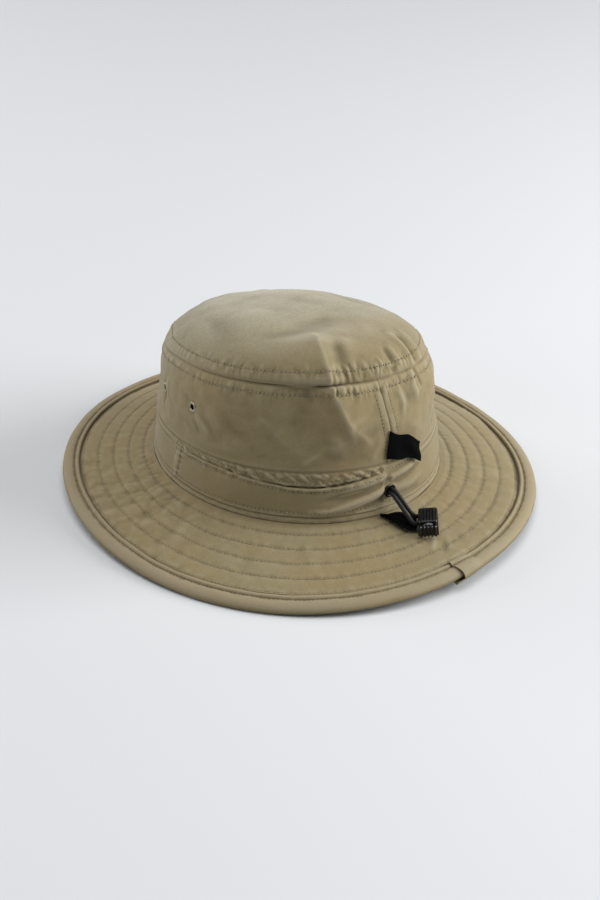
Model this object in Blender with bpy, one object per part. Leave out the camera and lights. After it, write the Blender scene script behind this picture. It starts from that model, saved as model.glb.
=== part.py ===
"""Boonie hat: a soft sun hat with a stitched brim, a stash pocket in its band and a cord lock at the back.

Frame: +Z up, origin on the resting plane under the middle of the brim. The face looks out along -Y,
the back of the head is at +Y and the wearer's left is +X. Angles run from +X towards +Y.
"""
from math import cos, degrees, floor, pi, radians, sin

import bmesh
import bpy
from mathutils import Matrix, Vector

# ---- driving dimensions (metres, degrees) ----
HEAD_HALF_WIDTH = 0.0895       # crown base ellipse, X
HEAD_HALF_LENGTH = 0.1015      # crown base ellipse, Y
CROWN_SHIFT = Vector((-0.0016, -0.0038, 0.0))   # the crown sits a little forward on the brim
CROWN_RISE = 0.0798            # crown base to crown seam
SEAM_SCALE = 0.862             # crown seam ellipse over base ellipse
WALL_PINCH = 0.040             # how far the wall draws in half way up
WALL_POWER = 4.83              # how late the wall turns in to the seam
SEAM_LEAN = (0.0096, 0.0128)   # the soft crown stands higher at the back left
BASE_LEAN = (0.0016, 0.0027)
DOME_RISE = 0.0281             # crown seam to the top of the tip

BRIM_HALF_WIDTH = 0.1526       # brim outline, X
BRIM_HALF_LENGTH = 0.1654      # brim outline, Y
BASE_ABOVE_EDGE = 0.0161       # how far the brim falls from crown to edge
EDGE_CLEAR = 0.0033            # brim surface above the floor where the edge rests
WAVE = 0.0029                  # mean lift of the brim edge
WAVE_1 = (0.0014, 0.0012)      # once, twice and three times round
WAVE_2 = (-0.0015, -0.0029)
WAVE_3 = (0.0, -0.0015)

CLOTH = 0.0008                 # one sewn layer: shell fabric with its backing
GAP = 0.0003                   # clearance between touching pieces
BINDING_WIDTH = 0.0112
BINDING_NOSE = 0.0026          # radius of the rounded brim edge
BINDING_LAP = 4.0              # degrees by which the binding's start laps over its end

BACK = 86.0                    # angle of the back seam, where the crown lies turned on the brim
FRONT = BACK + 180.0
SEGMENTS = 48
STEP = 360.0 / SEGMENTS
FIRST_STATION = 4.25           # sets a facet square to each eyelet
WALL_LEVELS = (0.0, 0.2, 0.39, 0.6, 0.8, 0.9, 1.0)
TIP_RISES = (0.0, 12.0, 27.0, 44.0, 62.0, 78.0)

BAND_LEVELS = (0.06, 0.39)     # hat band, as shares of the crown rise
PIPING_LEVELS = (0.0, 0.055)
POCKET_ANGLES = (-9.5, 81.0)
POCKET_MOUTH = 0.325
SWEATBAND_LEVELS = (0.04, 0.34)
SWEATBAND_ROOM = 0.0038        # room between the sweatband's two layers
TAPE_HALF_WIDTH = 3.2          # degrees
TAPE_LEVELS = (0.42, 0.90)

CORD_DIAMETER = 0.0024
CORD_LEVEL = 0.175
CORD_SPACING = 0.00095         # each strand from the eyelet's middle, both across and up
STRAND_START = 0.0030          # the moving strands start this far out of the eyelet's seat
STRAND_ROOM = 0.0019           # room behind their ends, for the lock to swing
CORD_EYELET = {"angle": 85.2, "radius": 0.0047, "bore": 0.0028, "depth": 0.0030}

VENT_EYELET = {"level": 0.715, "radius": 0.0034, "bore": 0.0014, "depth": 0.0021}
EYELET_WALL = 0.0006
EYELET_FLANGE = 0.0007         # how high the rolled flange stands
VENT_ANGLES = {
    "vent_eyelet_left_rear": 0.5,
    "vent_eyelet_left_front": -22.0,
    "vent_eyelet_right_rear": 173.0,
    "vent_eyelet_right_front": 195.5,
}

LOCK_ANGLE = 91.2              # where the cord lock lies on the brim
LOCK_OUT = 0.0245              # from the crown, along the brim
LOCK_TURN = 48.0               # direction of the lock's long axis in plan
LOCK_ROLL = 13.0               # about that axis, its ribbon side resting on the brim
LOCK_STAND = 0.0068            # the middle of the lock above the brim
LOCK_BODY = (0.0145, 0.012, 0.009)
LOCK_TRAVEL = 0.0015
LOCK_STRANDS = (-0.0048, 0.0022)  # each strand, on the long axis
LOCK_RETURN = 0.0045           # from the axis to the cord's turn inside the body
LOCK_BACK = -0.008             # the body's blind end, on its long axis
LOCK_STEM = 0.0024             # radius of the button's stem
LOCK_SPRING = (0.0046, 0.0088)  # the spring's seat in the body and the underside of the cap
LOCK_CAP = (0.0025, 0.0130, 0.0080)
LOCK_FLOOR = -0.0037           # underside of the ribbon bar
RIBBON_ROOT = (80.0, 0.0048, 0.0012)

TAG_SHAPE = (                  # degrees past the back seam, with the levels of its lower and upper edges
    (0.3, 0.425, 0.635), (4.5, 0.405, 0.588), (9.0, 0.385, 0.556), (13.0, 0.345, 0.482), (16.5, 0.290, 0.415))
TAG_STAND = 0.0015             # how far its free end stands off

KHAKI = (0.235, 0.205, 0.135)
KHAKI_DARK = (0.19, 0.165, 0.108)
BLACK = (0.012, 0.012, 0.013)


def remove_all_objects():
    for thing in list(bpy.data.objects):
        bpy.data.objects.remove(thing, do_unlink=True)


def finish_material(name, colour, roughness, metallic=0.0):
    material = bpy.data.materials.get(name)
    if material is None:
        material = bpy.data.materials.new(name)
        material.use_nodes = True
        shader = material.node_tree.nodes["Principled BSDF"]
        shader.inputs["Base Color"].default_value = (*colour, 1.0)
        shader.inputs["Roughness"].default_value = roughness
        shader.inputs["Metallic"].default_value = metallic
    return material


def fabric():
    return finish_material("khaki_fabric", KHAKI, 0.85)


def lining():
    return finish_material("khaki_lining", KHAKI_DARK, 0.9)


def black_plastic():
    return finish_material("black_plastic", BLACK, 0.4)


def black_cord():
    return finish_material("black_cord", BLACK, 0.75)


def black_webbing():
    return finish_material("black_webbing", BLACK, 0.8)


def khaki_metal():
    return finish_material("khaki_enamel_metal", (0.22, 0.19, 0.125), 0.45, 0.6)


def black_metal():
    return finish_material("black_enamel_metal", (0.02, 0.02, 0.02), 0.35, 0.8)


def spring_steel():
    return finish_material("spring_steel", (0.55, 0.55, 0.56), 0.3, 1.0)


def new_object(name, mesh, material):
    mesh.materials.clear()
    mesh.materials.append(material)
    thing = bpy.data.objects.new(name, mesh)
    bpy.context.scene.collection.objects.link(thing)
    return thing


def smooth(mesh, degrees_sharp=35.0):
    mesh.shade_smooth()
    mesh.set_sharp_from_angle(angle=radians(degrees_sharp))


def mesh_of(name, points, faces):
    """A mesh from points and faces, with every face turned outward."""
    mesh = bpy.data.meshes.new(name)
    mesh.from_pydata([tuple(p) for p in points], [], faces)
    work = bmesh.new()
    work.from_mesh(mesh)
    bmesh.ops.recalc_face_normals(work, faces=work.faces)
    work.to_mesh(mesh)
    work.free()
    return mesh


def shell(name, face, back, ring, material):
    """A sheet of cloth as one closed body between two grids of points, face[i][j] and back[i][j].

    Rows run round the hat. A ring joins its last row to its first.
    """
    rows = len(face)
    columns = len(face[0])
    points = [p for row in face for p in row] + [p for row in back for p in row]
    offset = rows * columns

    def at(i, j):
        return (i % rows) * columns + j

    faces = []
    for i in range(rows if ring else rows - 1):
        for j in range(columns - 1):
            faces.append((at(i, j), at(i + 1, j), at(i + 1, j + 1), at(i, j + 1)))
            faces.append(tuple(offset + k for k in (at(i, j), at(i, j + 1), at(i + 1, j + 1), at(i + 1, j))))
        for j in (0, columns - 1):
            faces.append((at(i, j), at(i + 1, j), offset + at(i + 1, j), offset + at(i, j)))
    if not ring:
        for i in (0, rows - 1):
            for j in range(columns - 1):
                faces.append((at(i, j), at(i, j + 1), offset + at(i, j + 1), offset + at(i, j)))
    mesh = mesh_of(name, points, faces)
    smooth(mesh)
    return new_object(name, mesh, material)


# ---- the hat's own surfaces ----
def between(marks, value, exact):
    """The point at value on the straight run between the two marks round it."""
    for low, high in zip(marks, marks[1:]):
        if value <= high:
            break
    return exact(low).lerp(exact(high), (value - low) / (high - low))


def on_facets(angle, exact):
    """The point at an angle, on the flat facet between its two nearest stations."""
    place = (angle - FIRST_STATION) / STEP
    first = floor(place + 1e-9)
    low = FIRST_STATION + first * STEP
    return exact(low).lerp(exact(low + STEP), max(place - first, 0.0))


def stations(start=None, end=None):
    """Every station round the hat, or start, the stations between, and end."""
    if start is None:
        return [FIRST_STATION + i * STEP for i in range(SEGMENTS)]
    first = floor((start - FIRST_STATION) / STEP) + 1
    inner = []
    while FIRST_STATION + first * STEP < end - 0.5:
        if FIRST_STATION + first * STEP > start + 0.5:
            inner.append(FIRST_STATION + first * STEP)
        first += 1
    return [start, *inner, end]


def edge_height(angle):
    """Height of the brim surface at its outline, which touches down at three places."""
    a = radians(angle)
    waves = ((1, WAVE_1), (2, WAVE_2), (3, WAVE_3))
    lift = WAVE + sum(c * cos(n * a) + s * sin(n * a) for n, (c, s) in waves)
    return EDGE_CLEAR + max(lift, 0.0)


def crown_exact(angle, level, out):
    """Crown wall: level 0 at the brim, 1 at the crown seam, out from the outer surface."""
    a = radians(angle)
    scale = 1.0 - WALL_PINCH * sin(pi * level) - (1.0 - SEAM_SCALE) * level ** WALL_POWER
    lean_x = BASE_LEAN[0] * (1.0 - level) + SEAM_LEAN[0] * level
    lean_y = BASE_LEAN[1] * (1.0 - level) + SEAM_LEAN[1] * level
    height = EDGE_CLEAR + BASE_ABOVE_EDGE + CROWN_RISE * level + lean_x * cos(a) + lean_y * sin(a)
    across = (HEAD_HALF_WIDTH * scale + out) * cos(a)
    along = (HEAD_HALF_LENGTH * scale + out) * sin(a)
    return Vector((across, along, height)) + CROWN_SHIFT


def crown(angle, level, out):
    def ring(a):
        return between(WALL_LEVELS, level, lambda mark: crown_exact(a, mark, out))
    return on_facets(angle, ring)


def tip(angle, rise, out):
    """Crown tip: a dome that starts upright at the crown seam."""
    def exact(station):
        a = radians(station)
        r = radians(rise)
        lean = (SEAM_LEAN[0] * cos(a) + SEAM_LEAN[1] * sin(a)) * cos(r)
        height = EDGE_CLEAR + BASE_ABOVE_EDGE + CROWN_RISE + GAP + lean + (DOME_RISE + out) * sin(r)
        across = (HEAD_HALF_WIDTH * SEAM_SCALE + out) * cos(r) * cos(a)
        along = (HEAD_HALF_LENGTH * SEAM_SCALE + out) * cos(r) * sin(a)
        return Vector((across, along, height)) + CROWN_SHIFT
    return on_facets(angle, exact)


def brim(angle, out, up, from_edge=False):
    """Brim: out from the crown, or in from the outline when from_edge, and up from its top surface."""
    def exact(station):
        a = radians(station)
        inner = crown_exact(station, 0.0, 0.0)
        outer = Vector((BRIM_HALF_WIDTH * cos(a), BRIM_HALF_LENGTH * sin(a), edge_height(station)))
        along = (outer - inner).normalized()
        place = outer - along * out if from_edge else inner + along * out
        return place + Vector((0.0, 0.0, up))
    return on_facets(angle, exact)


def levels_between(low, high):
    return [low, *(mark for mark in WALL_LEVELS if low < mark < high), high]


def wall_sheet(name, angles, levels, out, material, ring=True):
    """A sheet that lies on the crown wall, its outer surface at out."""
    marks = levels_between(*levels)
    face = [[crown(a, mark, out) for mark in marks] for a in angles]
    back = [[crown(a, mark, out - CLOTH) for mark in marks] for a in angles]
    return shell(name, face, back, ring, material)


def wall_frame(angle, level, out):
    """Matrix at a point of the crown wall: local Z out of the wall, local X round the hat, local Y up it."""
    place = crown(angle, level, out)
    round_hat = (crown(angle + 1.0, level, out) - crown(angle - 1.0, level, out)).normalized()
    up_wall = crown(angle, level + 0.01, out) - crown(angle, level - 0.01, out)
    out_of = round_hat.cross(up_wall).normalized()
    up = out_of.cross(round_hat)
    turn = Matrix((round_hat, up, out_of)).transposed().to_4x4()
    return Matrix.Translation(place) @ turn


# ---- small turned and cut pieces ----
def turned(name, profile, sides, material, matrix):
    """A ring turned about local Z from a closed profile of (radius, height)."""
    rows = []
    for i in range(sides):
        a = 2.0 * pi * i / sides
        rows.append([Vector((r * cos(a), r * sin(a), h)) for r, h in profile])
    count = len(profile)
    points = [p for row in rows for p in row]
    faces = []
    for i in range(sides):
        n = (i + 1) % sides
        for j in range(count):
            k = (j + 1) % count
            faces.append((i * count + j, n * count + j, n * count + k, i * count + k))
    mesh = mesh_of(name, points, faces)
    smooth(mesh)
    thing = new_object(name, mesh, material)
    thing.matrix_world = matrix
    return thing


def box_mesh(name, low, high, bevel=0.0):
    """A box between two corners, with every edge rounded off by the bevel."""
    size = Vector(high) - Vector(low)
    middle = (Vector(high) + Vector(low)) / 2.0
    work = bmesh.new()
    bmesh.ops.create_cube(work, size=1.0)
    bmesh.ops.scale(work, vec=size, verts=work.verts)
    bmesh.ops.translate(work, vec=middle, verts=work.verts)
    if bevel:
        bmesh.ops.bevel(work, geom=list(work.edges), offset=bevel, segments=2, profile=0.5, affect="EDGES")
    mesh = bpy.data.meshes.new(name)
    work.to_mesh(mesh)
    work.free()
    return mesh


def helper(name, mesh, matrix):
    """A hidden object that is cut from another or joined to it."""
    thing = new_object(name, mesh, fabric())
    thing.matrix_world = matrix
    thing.hide_render = True
    thing.display_type = "WIRE"
    return thing


def round_helper(name, radius, low, high, matrix, sides=16):
    work = bmesh.new()
    bmesh.ops.create_cone(work, cap_ends=True, segments=sides, radius1=radius, radius2=radius,
                          depth=high - low)
    bmesh.ops.translate(work, vec=(0.0, 0.0, (low + high) / 2.0), verts=work.verts)
    mesh = bpy.data.meshes.new(name)
    work.to_mesh(mesh)
    work.free()
    return helper(name, mesh, matrix)


def combine(thing, other, operation):
    modifier = thing.modifiers.new(other.name, "BOOLEAN")
    modifier.operation = operation
    modifier.solver = "EXACT"
    modifier.object = other


def cut(thing, other):
    combine(thing, other, "DIFFERENCE")


def join(thing, other):
    combine(thing, other, "UNION")


def tube(name, points, diameter, material):
    """A round cord along a list of points, with closed ends."""
    curve = bpy.data.curves.new(name, "CURVE")
    curve.dimensions = "3D"
    curve.bevel_depth = diameter / 2.0
    curve.bevel_resolution = 2
    curve.use_fill_caps = True
    spline = curve.splines.new("POLY")
    spline.points.add(len(points) - 1)
    for spot, place in zip(spline.points, points):
        spot.co = (*place, 1.0)
    curve.materials.append(material)
    thing = bpy.data.objects.new(name, curve)
    bpy.context.scene.collection.objects.link(thing)
    return thing


def through_points(points, spacing):
    """Points a spacing apart on a smooth curve through hand-placed points."""
    fine = []
    padded = [points[0] * 2.0 - points[1], *points, points[-1] * 2.0 - points[-2]]
    for p0, p1, p2, p3 in zip(padded, padded[1:], padded[2:], padded[3:]):
        for i in range(20):
            t = i / 20.0
            fine.append(0.5 * (2.0 * p1 + (p2 - p0) * t + (2.0 * p0 - 5.0 * p1 + 4.0 * p2 - p3) * t * t
                               + (3.0 * p1 - p0 - 3.0 * p2 + p3) * t ** 3))
    fine.append(points[-1])
    total = sum((b - a).length for a, b in zip(fine, fine[1:]))
    count = max(round(total / spacing), 2)
    result = [fine[0]]
    travelled = 0.0
    for a, b in zip(fine, fine[1:]):
        step = (b - a).length
        while len(result) < count and travelled + step >= total * len(result) / count:
            share = (total * len(result) / count - travelled) / step
            result.append(a.lerp(b, share))
        travelled += step
    result.append(fine[-1])
    return result


# ---- crown ----
def make_crown():
    half_gap = degrees(GAP / 2.0 / HEAD_HALF_WIDTH)
    left = wall_sheet("crown_side_left", stations(FRONT - 360.0 + half_gap, BACK - half_gap),
                      (0.0, 1.0), 0.0, fabric(), ring=False)
    right = wall_sheet("crown_side_right", stations(BACK + half_gap, FRONT - half_gap),
                       (0.0, 1.0), 0.0, fabric(), ring=False)
    make_tip()
    make_seam_tape()
    for name, angle in (("back_seam_tape", BACK), ("front_seam_tape", FRONT)):
        wall_sheet(name, stations(angle - TAPE_HALF_WIDTH, angle + TAPE_HALF_WIDTH), TAPE_LEVELS,
                   -CLOTH - GAP, lining(), ring=False)
    return left, right


def make_tip():
    """The oval top panel, a dome closed at its pole inside and out."""
    angles = stations()
    points = []
    for out in (0.0, -CLOTH):
        for a in angles:
            points += [tip(a, rise, out) for rise in TIP_RISES]
        points.append(sum((tip(a, 90.0, out) for a in angles), Vector()) / SEGMENTS)
    columns = len(TIP_RISES)
    inside = SEGMENTS * columns + 1
    faces = []
    for i in range(SEGMENTS):
        here = i * columns
        there = ((i + 1) % SEGMENTS) * columns
        for start in (0, inside):
            for j in range(columns - 1):
                a, b = start + here + j, start + there + j
                faces.append((a, b, b + 1, a + 1))
            faces.append((start + here + columns - 1, start + there + columns - 1, start + inside - 1))
        faces.append((here, there, inside + there, inside + here))
    mesh = mesh_of("crown_tip", points, faces)
    smooth(mesh)
    return new_object("crown_tip", mesh, fabric())


def make_seam_tape():
    """Binding tape inside the crown seam: half on the wall, half on the tip."""
    def path(angle, out):
        wall = [crown(angle, 0.93, out), crown(angle, 1.0, out)]
        return wall + [tip(angle, 0.0, out), tip(angle, TIP_RISES[1], out)]
    angles = stations()
    face = [path(a, -CLOTH - GAP) for a in angles]
    back = [path(a, -2.0 * CLOTH - GAP) for a in angles]
    return shell("crown_seam_tape", face, back, True, lining())


# ---- band, pocket and sweatband ----
def make_band():
    out = GAP + CLOTH
    band = wall_sheet("hat_band", stations(), BAND_LEVELS, out, fabric())
    wall_sheet("brim_seam_piping", stations(), PIPING_LEVELS, out, fabric())
    pocket = stations(*POCKET_ANGLES)
    wall_sheet("pocket_face", pocket, (BAND_LEVELS[0], POCKET_MOUTH), 2.0 * out, fabric(), ring=False)
    wall_sheet("pocket_welt", pocket, (POCKET_MOUTH + 0.006, BAND_LEVELS[1]), 2.0 * out, fabric(), ring=False)
    return band


def sweatband_path(angle, skin):
    """The folded sweatband's cross-section: up its outer layer, over the fold and down its inner layer."""
    low, high = SWEATBAND_LEVELS
    outer = -CLOTH - GAP - skin
    inner = -CLOTH - GAP - 2.0 * CLOTH - SWEATBAND_ROOM + skin
    fold = high + 0.028 - skin * 12.0
    marks = [low, 0.2, high]
    path = [crown(angle, mark, outer) for mark in marks]
    path += [crown(angle, fold, (2.0 * outer + inner) / 3.0), crown(angle, fold, (outer + 2.0 * inner) / 3.0)]
    path += [crown(angle, mark, inner) for mark in reversed(marks)]
    return path


def make_sweatband():
    angles = stations()
    face = [sweatband_path(a, 0.0) for a in angles]
    back = [sweatband_path(a, CLOTH) for a in angles]
    return shell("sweatband", face, back, True, lining())


# ---- brim ----
def brim_sheet(name, top, material):
    """One layer of the brim, from just outside the crown to just inside the binding's nose."""
    start = 2.0 * GAP + CLOTH + 0.0003
    inset = BINDING_NOSE - 0.0003
    face = [[brim(a, start, top), brim(a, inset, top, from_edge=True)] for a in stations()]
    back = [[brim(a, start, top - CLOTH), brim(a, inset, top - CLOTH, from_edge=True)] for a in stations()]
    return shell(name, face, back, True, material)


def binding_path(angle, skin, lift):
    """The binding's cross-section: along the top, round the nose, back underneath, flat where it rests."""
    top = GAP + CLOTH
    bottom = -3.0 * CLOTH - 3.0 * GAP - CLOTH
    middle = (top + bottom) / 2.0
    radius = BINDING_NOSE - skin + lift
    offset = BINDING_WIDTH - lift
    path = [brim(angle, offset, top - skin + lift, from_edge=True)]
    path.append(brim(angle, BINDING_NOSE, top - skin + lift, from_edge=True))
    for turn in (55.0, 18.0, -18.0, -55.0):
        reach = BINDING_NOSE - radius * cos(radians(turn))
        path.append(brim(angle, reach, middle + (radius + (top - bottom) / 2.0 - BINDING_NOSE)
                         * sin(radians(turn)), from_edge=True))
    for inset in (BINDING_NOSE, BINDING_NOSE + 0.0022, offset):
        path.append(brim(angle, inset, bottom + skin - lift, from_edge=True))
    for place in path:
        place.z = max(place.z, skin * 0.4)
    return path


def make_binding():
    """One strip round the edge whose start laps over its end at the back."""
    start = BACK + 0.25
    lap = [start, start + BINDING_LAP / 2.0, start + BINDING_LAP + 1.2]
    plain = stations(start + 2.0 * BINDING_LAP, start + BINDING_LAP + 360.0)
    over = CLOTH + GAP + 0.0001
    face = [binding_path(a, 0.0, over) for a in lap] + [binding_path(a, 0.0, 0.0) for a in plain]
    back = [binding_path(a, CLOTH, over) for a in lap] + [binding_path(a, CLOTH, 0.0) for a in plain]
    return shell("brim_edge_binding", face, back, False, fabric())


def make_brim():
    brim_sheet("brim_top", 0.0, fabric())
    brim_sheet("brim_interlining", -CLOTH - GAP, lining())
    brim_sheet("brim_underside", -2.0 * (CLOTH + GAP), fabric())
    make_binding()


# ---- eyelets ----
def eyelet(name, angle, level, out, size, material):
    """An eyelet through the wall with a rolled flange outside and a washer inside, both about one axis."""
    seat = wall_frame(angle, level, out)
    radius, bore, depth = size["radius"], size["bore"], size["depth"]
    flange = EYELET_FLANGE
    barrel = bore + EYELET_WALL
    profile = [(bore, -depth), (barrel, -depth), (barrel, 0.0), (radius, 0.0), (radius, flange * 0.6)]
    profile += [(radius - 0.0005, flange), (barrel, flange), (bore, flange * 0.5)]
    turned(name, profile, 16, material, seat)
    behind = (seat.inverted() @ crown(angle, level, -CLOTH - GAP - 0.0001)).z
    hole = barrel + GAP
    ring = [(hole, behind - 0.0005), (radius, behind - 0.0005), (radius, behind), (hole, behind)]
    turned(name + "_washer", ring, 16, material, seat)
    return seat, hole


def make_vents(left, right):
    for name, angle in VENT_ANGLES.items():
        panel = left if "left" in name else right
        seat, hole = eyelet(name, angle, VENT_EYELET["level"], GAP + 0.0001, VENT_EYELET, khaki_metal())
        cut(panel, round_helper(name + "_hole", hole, -0.004, 0.002, seat))


def make_cord_eyelet(left, right, band, sweatband):
    """The black eyelet that the drawcord leaves by, through band, crown and the sweatband's outer layer."""
    out = 2.0 * GAP + CLOTH + 0.0002
    seat, hole = eyelet("cord_eyelet", CORD_EYELET["angle"], CORD_LEVEL, out, CORD_EYELET, black_metal())
    opening = round_helper("cord_eyelet_hole", hole, -0.0045, 0.002, seat)
    for layer in (left, right, band):
        cut(layer, opening)
    cut(sweatband, round_helper("washer_hole", CORD_EYELET["radius"] + GAP, -0.0042, 0.002, seat))
    return seat


# ---- drawcord and cord lock ----
def drawcord_route(seat):
    """The elastic cord inside the sweatband, its two ends turned out into the eyelet."""
    depth = -CLOTH - GAP - CLOTH - SWEATBAND_ROOM / 2.0

    def in_channel(angle):
        return crown(angle, CORD_LEVEL, depth)

    def end(side):
        """From outside the eyelet, in through it and round into the channel on one side of it."""
        spot = side * CORD_SPACING
        return [seat @ Vector((spot, spot, STRAND_START - STRAND_ROOM)),
                seat @ Vector((spot, spot, -0.0022)),
                seat @ Vector((spot + side * 0.0004, spot, -0.0036)),
                seat @ Vector((side * 0.0024, spot, -0.0050))]

    run = stations(CORD_EYELET["angle"] + 4.5, CORD_EYELET["angle"] + 355.5)
    return end(1.0) + [in_channel(a) for a in run] + end(-1.0)[::-1]


def lock_frame():
    """Matrix of the cord lock: local X along it towards its button, local Y with the cord, local Z up."""
    place = brim(LOCK_ANGLE, LOCK_OUT, 0.0)
    radial = brim(LOCK_ANGLE, LOCK_OUT + 0.01, 0.0) - place
    round_hat = brim(LOCK_ANGLE + 2.0, LOCK_OUT, 0.0) - brim(LOCK_ANGLE - 2.0, LOCK_OUT, 0.0)
    normal = radial.cross(round_hat).normalized()
    heading = Vector((cos(radians(LOCK_TURN)), sin(radians(LOCK_TURN)), 0.0))
    long_axis = (heading - normal * heading.dot(normal)).normalized()
    with_cord = normal.cross(long_axis)
    turn = Matrix((long_axis, with_cord, normal)).transposed().to_4x4()
    roll = Matrix.Rotation(radians(LOCK_ROLL), 4, "X")
    return Matrix.Translation(place + normal * LOCK_STAND) @ turn @ roll


def make_lock_body(frame):
    """Body with two cord bores joined at their far end, a bore for the button and a bar for the ribbon."""
    long, wide, tall = LOCK_BODY
    block = box_mesh("cord_lock_body", (LOCK_BACK, -wide / 2.0, -tall / 2.0),
                     (LOCK_BACK + long, wide / 2.0, tall / 2.0), 0.0012)
    body = new_object("cord_lock_body", block, black_plastic())
    body.matrix_world = frame
    bar = box_mesh("ribbon_bar", (-0.0076, -wide / 2.0 - 0.0042, LOCK_FLOOR),
                   (0.0061, -wide / 2.0 + 0.002, LOCK_FLOOR + 0.0014))
    join(body, helper("ribbon_bar", bar, frame))
    slot = box_mesh("ribbon_slot", (-0.0062, -wide / 2.0 - 0.0025, -tall),
                    (0.0047, -wide / 2.0 - 0.0003, 0.0))
    cut(body, helper("ribbon_slot", slot, frame))
    across = Matrix.Rotation(radians(-90.0), 4, "X")
    along = Matrix.Rotation(radians(90.0), 4, "Y")
    room = CORD_DIAMETER / 2.0 + 2.0 * GAP
    for i, middle in enumerate(LOCK_STRANDS):
        place = Matrix.Translation((middle, 0.0, 0.0))
        cut(body, round_helper(f"strand_bore_{i}", room, -0.01, LOCK_RETURN, frame @ place @ across, 12))
    mouth = box_mesh("return_slot", (LOCK_STRANDS[0] - room, LOCK_RETURN - room + 0.0003, -room),
                     (LOCK_STRANDS[1] + room, 0.01, room))
    cut(body, helper("return_slot", mouth, frame))
    cut(body, round_helper("button_bore", LOCK_STEM + GAP, -0.0070, 0.012, frame @ along))
    cut(body, round_helper("spring_bore", LOCK_STEM + 4.0 * GAP, LOCK_SPRING[0], 0.012, frame @ along))
    return body


def make_lock_button(frame):
    """Press button: a broad ribbed cap on a stem with a slot for each strand of cord."""
    along = Matrix.Rotation(radians(90.0), 4, "Y")
    deep, wide, tall = LOCK_CAP
    near = LOCK_SPRING[1]
    cap = box_mesh("cord_lock_button", (near, -wide / 2.0, -tall / 2.0),
                   (near + deep, wide / 2.0, tall / 2.0), 0.0010)
    button = new_object("cord_lock_button", cap, black_plastic())
    button.matrix_world = frame
    join(button, round_helper("button_stem", LOCK_STEM, -0.0050, near + 0.0010, frame @ along))
    half = CORD_DIAMETER / 2.0 + 1.5 * GAP
    for i, middle in enumerate(LOCK_STRANDS):
        slot = box_mesh(f"stem_slot_{i}", (middle - half, -0.004, -half),
                        (middle + half + LOCK_TRAVEL, 0.004, half))
        cut(button, helper(f"stem_slot_{i}", slot, frame))
    return button


def make_lock_spring(frame):
    """Small compression spring round the stem, between the body and the cap."""
    turns = 3.0
    count = 30
    inset = 0.0006
    radius = LOCK_STEM + 0.00065
    low, high = LOCK_SPRING[0] + inset, LOCK_SPRING[1] - inset
    points = []
    for i in range(count + 1):
        a = 2.0 * pi * turns * i / count
        points.append(frame @ Vector((low + (high - low) * i / count, radius * cos(a), radius * sin(a))))
    spring = tube("cord_lock_spring", points, 0.0005, spring_steel())
    spring.data.bevel_resolution = 1
    return spring


def make_drawcord_loop(frame, seat):
    """The strands outside: from the eyelet into the lock, where the cord turns back on itself."""
    near = LOCK_BODY[1] / 2.0
    far = LOCK_RETURN
    low, high = LOCK_STRANDS
    lead_in = Vector((0.0, -near - 0.0040, 0.0019))
    spot = CORD_SPACING
    route = [seat @ Vector((spot, spot, STRAND_START)),
             seat @ Vector((spot, spot - 0.0003, STRAND_START + 0.0028)),
             frame @ (lead_in + Vector((low, 0.0, 0.0)))]
    inside = [(low, -near), (low, 0.0), (low, far - 0.0024), (low + 0.0007, far - 0.0006),
              (low + 0.0022, far), ((low + high) / 2.0, far), (high - 0.0022, far),
              (high - 0.0007, far - 0.0006), (high, far - 0.0024), (high, 0.0), (high, -near)]
    route += [frame @ Vector((x, y, 0.0)) for x, y in inside]
    route += [frame @ (lead_in + Vector((high, 0.0, 0.0))),
              seat @ Vector((-spot, -spot - 0.0006, STRAND_START + 0.0028)),
              seat @ Vector((-spot, -spot, STRAND_START))]
    return tube("drawcord_loop", through_points(route, CORD_DIAMETER * 0.8), CORD_DIAMETER, black_cord())


def make_lock_ribbon(frame):
    """Folded ribbon from the brim seam to the lock, gathered narrow at its root."""
    thick = 0.0008
    bar_y = -LOCK_BODY[1] / 2.0 - 0.0034
    rest = LOCK_FLOOR + 0.0014 + GAP
    root = frame.inverted() @ brim(*RIBBON_ROOT)
    bar = Vector((0.0, bar_y, LOCK_FLOOR))
    path = [
        (root, 0.0022),
        (root.lerp(bar, 0.35) + Vector((0.0, 0.0, 0.0005)), 0.0040),
        (root.lerp(bar, 0.75) + Vector((0.0, 0.0, 0.0010)), 0.0050),
        (Vector((-0.0007, bar_y - 0.0010, rest)), 0.0050),
        (Vector((-0.0007, bar_y + 0.0022, rest)), 0.0050),
    ]
    face = []
    back = []
    across = Vector((1.0, 0.0, 0.0))
    up = Vector((0.0, 0.0, thick))
    for place, half in path:
        face.append([frame @ (place - across * half + up), frame @ (place + across * half + up)])
        back.append([frame @ (place - across * half), frame @ (place + across * half)])
    return shell("cord_lock_ribbon", face, back, False, black_webbing())


def make_cord_and_lock(seat):
    frame = lock_frame()
    tube("drawcord", drawcord_route(seat), CORD_DIAMETER, black_cord())
    make_lock_body(frame)
    make_lock_button(frame)
    make_lock_spring(frame)
    make_drawcord_loop(frame, seat)
    make_lock_ribbon(frame)


# ---- back tag ----
def make_back_tag():
    """Folded webbing tag sewn in the back seam, lying against the right panel."""
    _, low, high = TAG_SHAPE[0]
    out = 2.0 * (CLOTH + GAP) + 0.0004
    hinge = crown(BACK, (low + high) / 2.0, out)
    face = []
    back = []
    for degrees_round, low, high in TAG_SHAPE:
        stand = out + TAG_STAND * degrees_round / TAG_SHAPE[-1][0]
        for skin, row in ((CLOTH, face), (0.0, back)):
            row.append([crown(BACK + degrees_round, level, stand + skin) - hinge for level in (low, high)])
    tag = shell("back_tag", face, back, False, black_webbing())
    tag.location = hinge
    return tag


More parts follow.
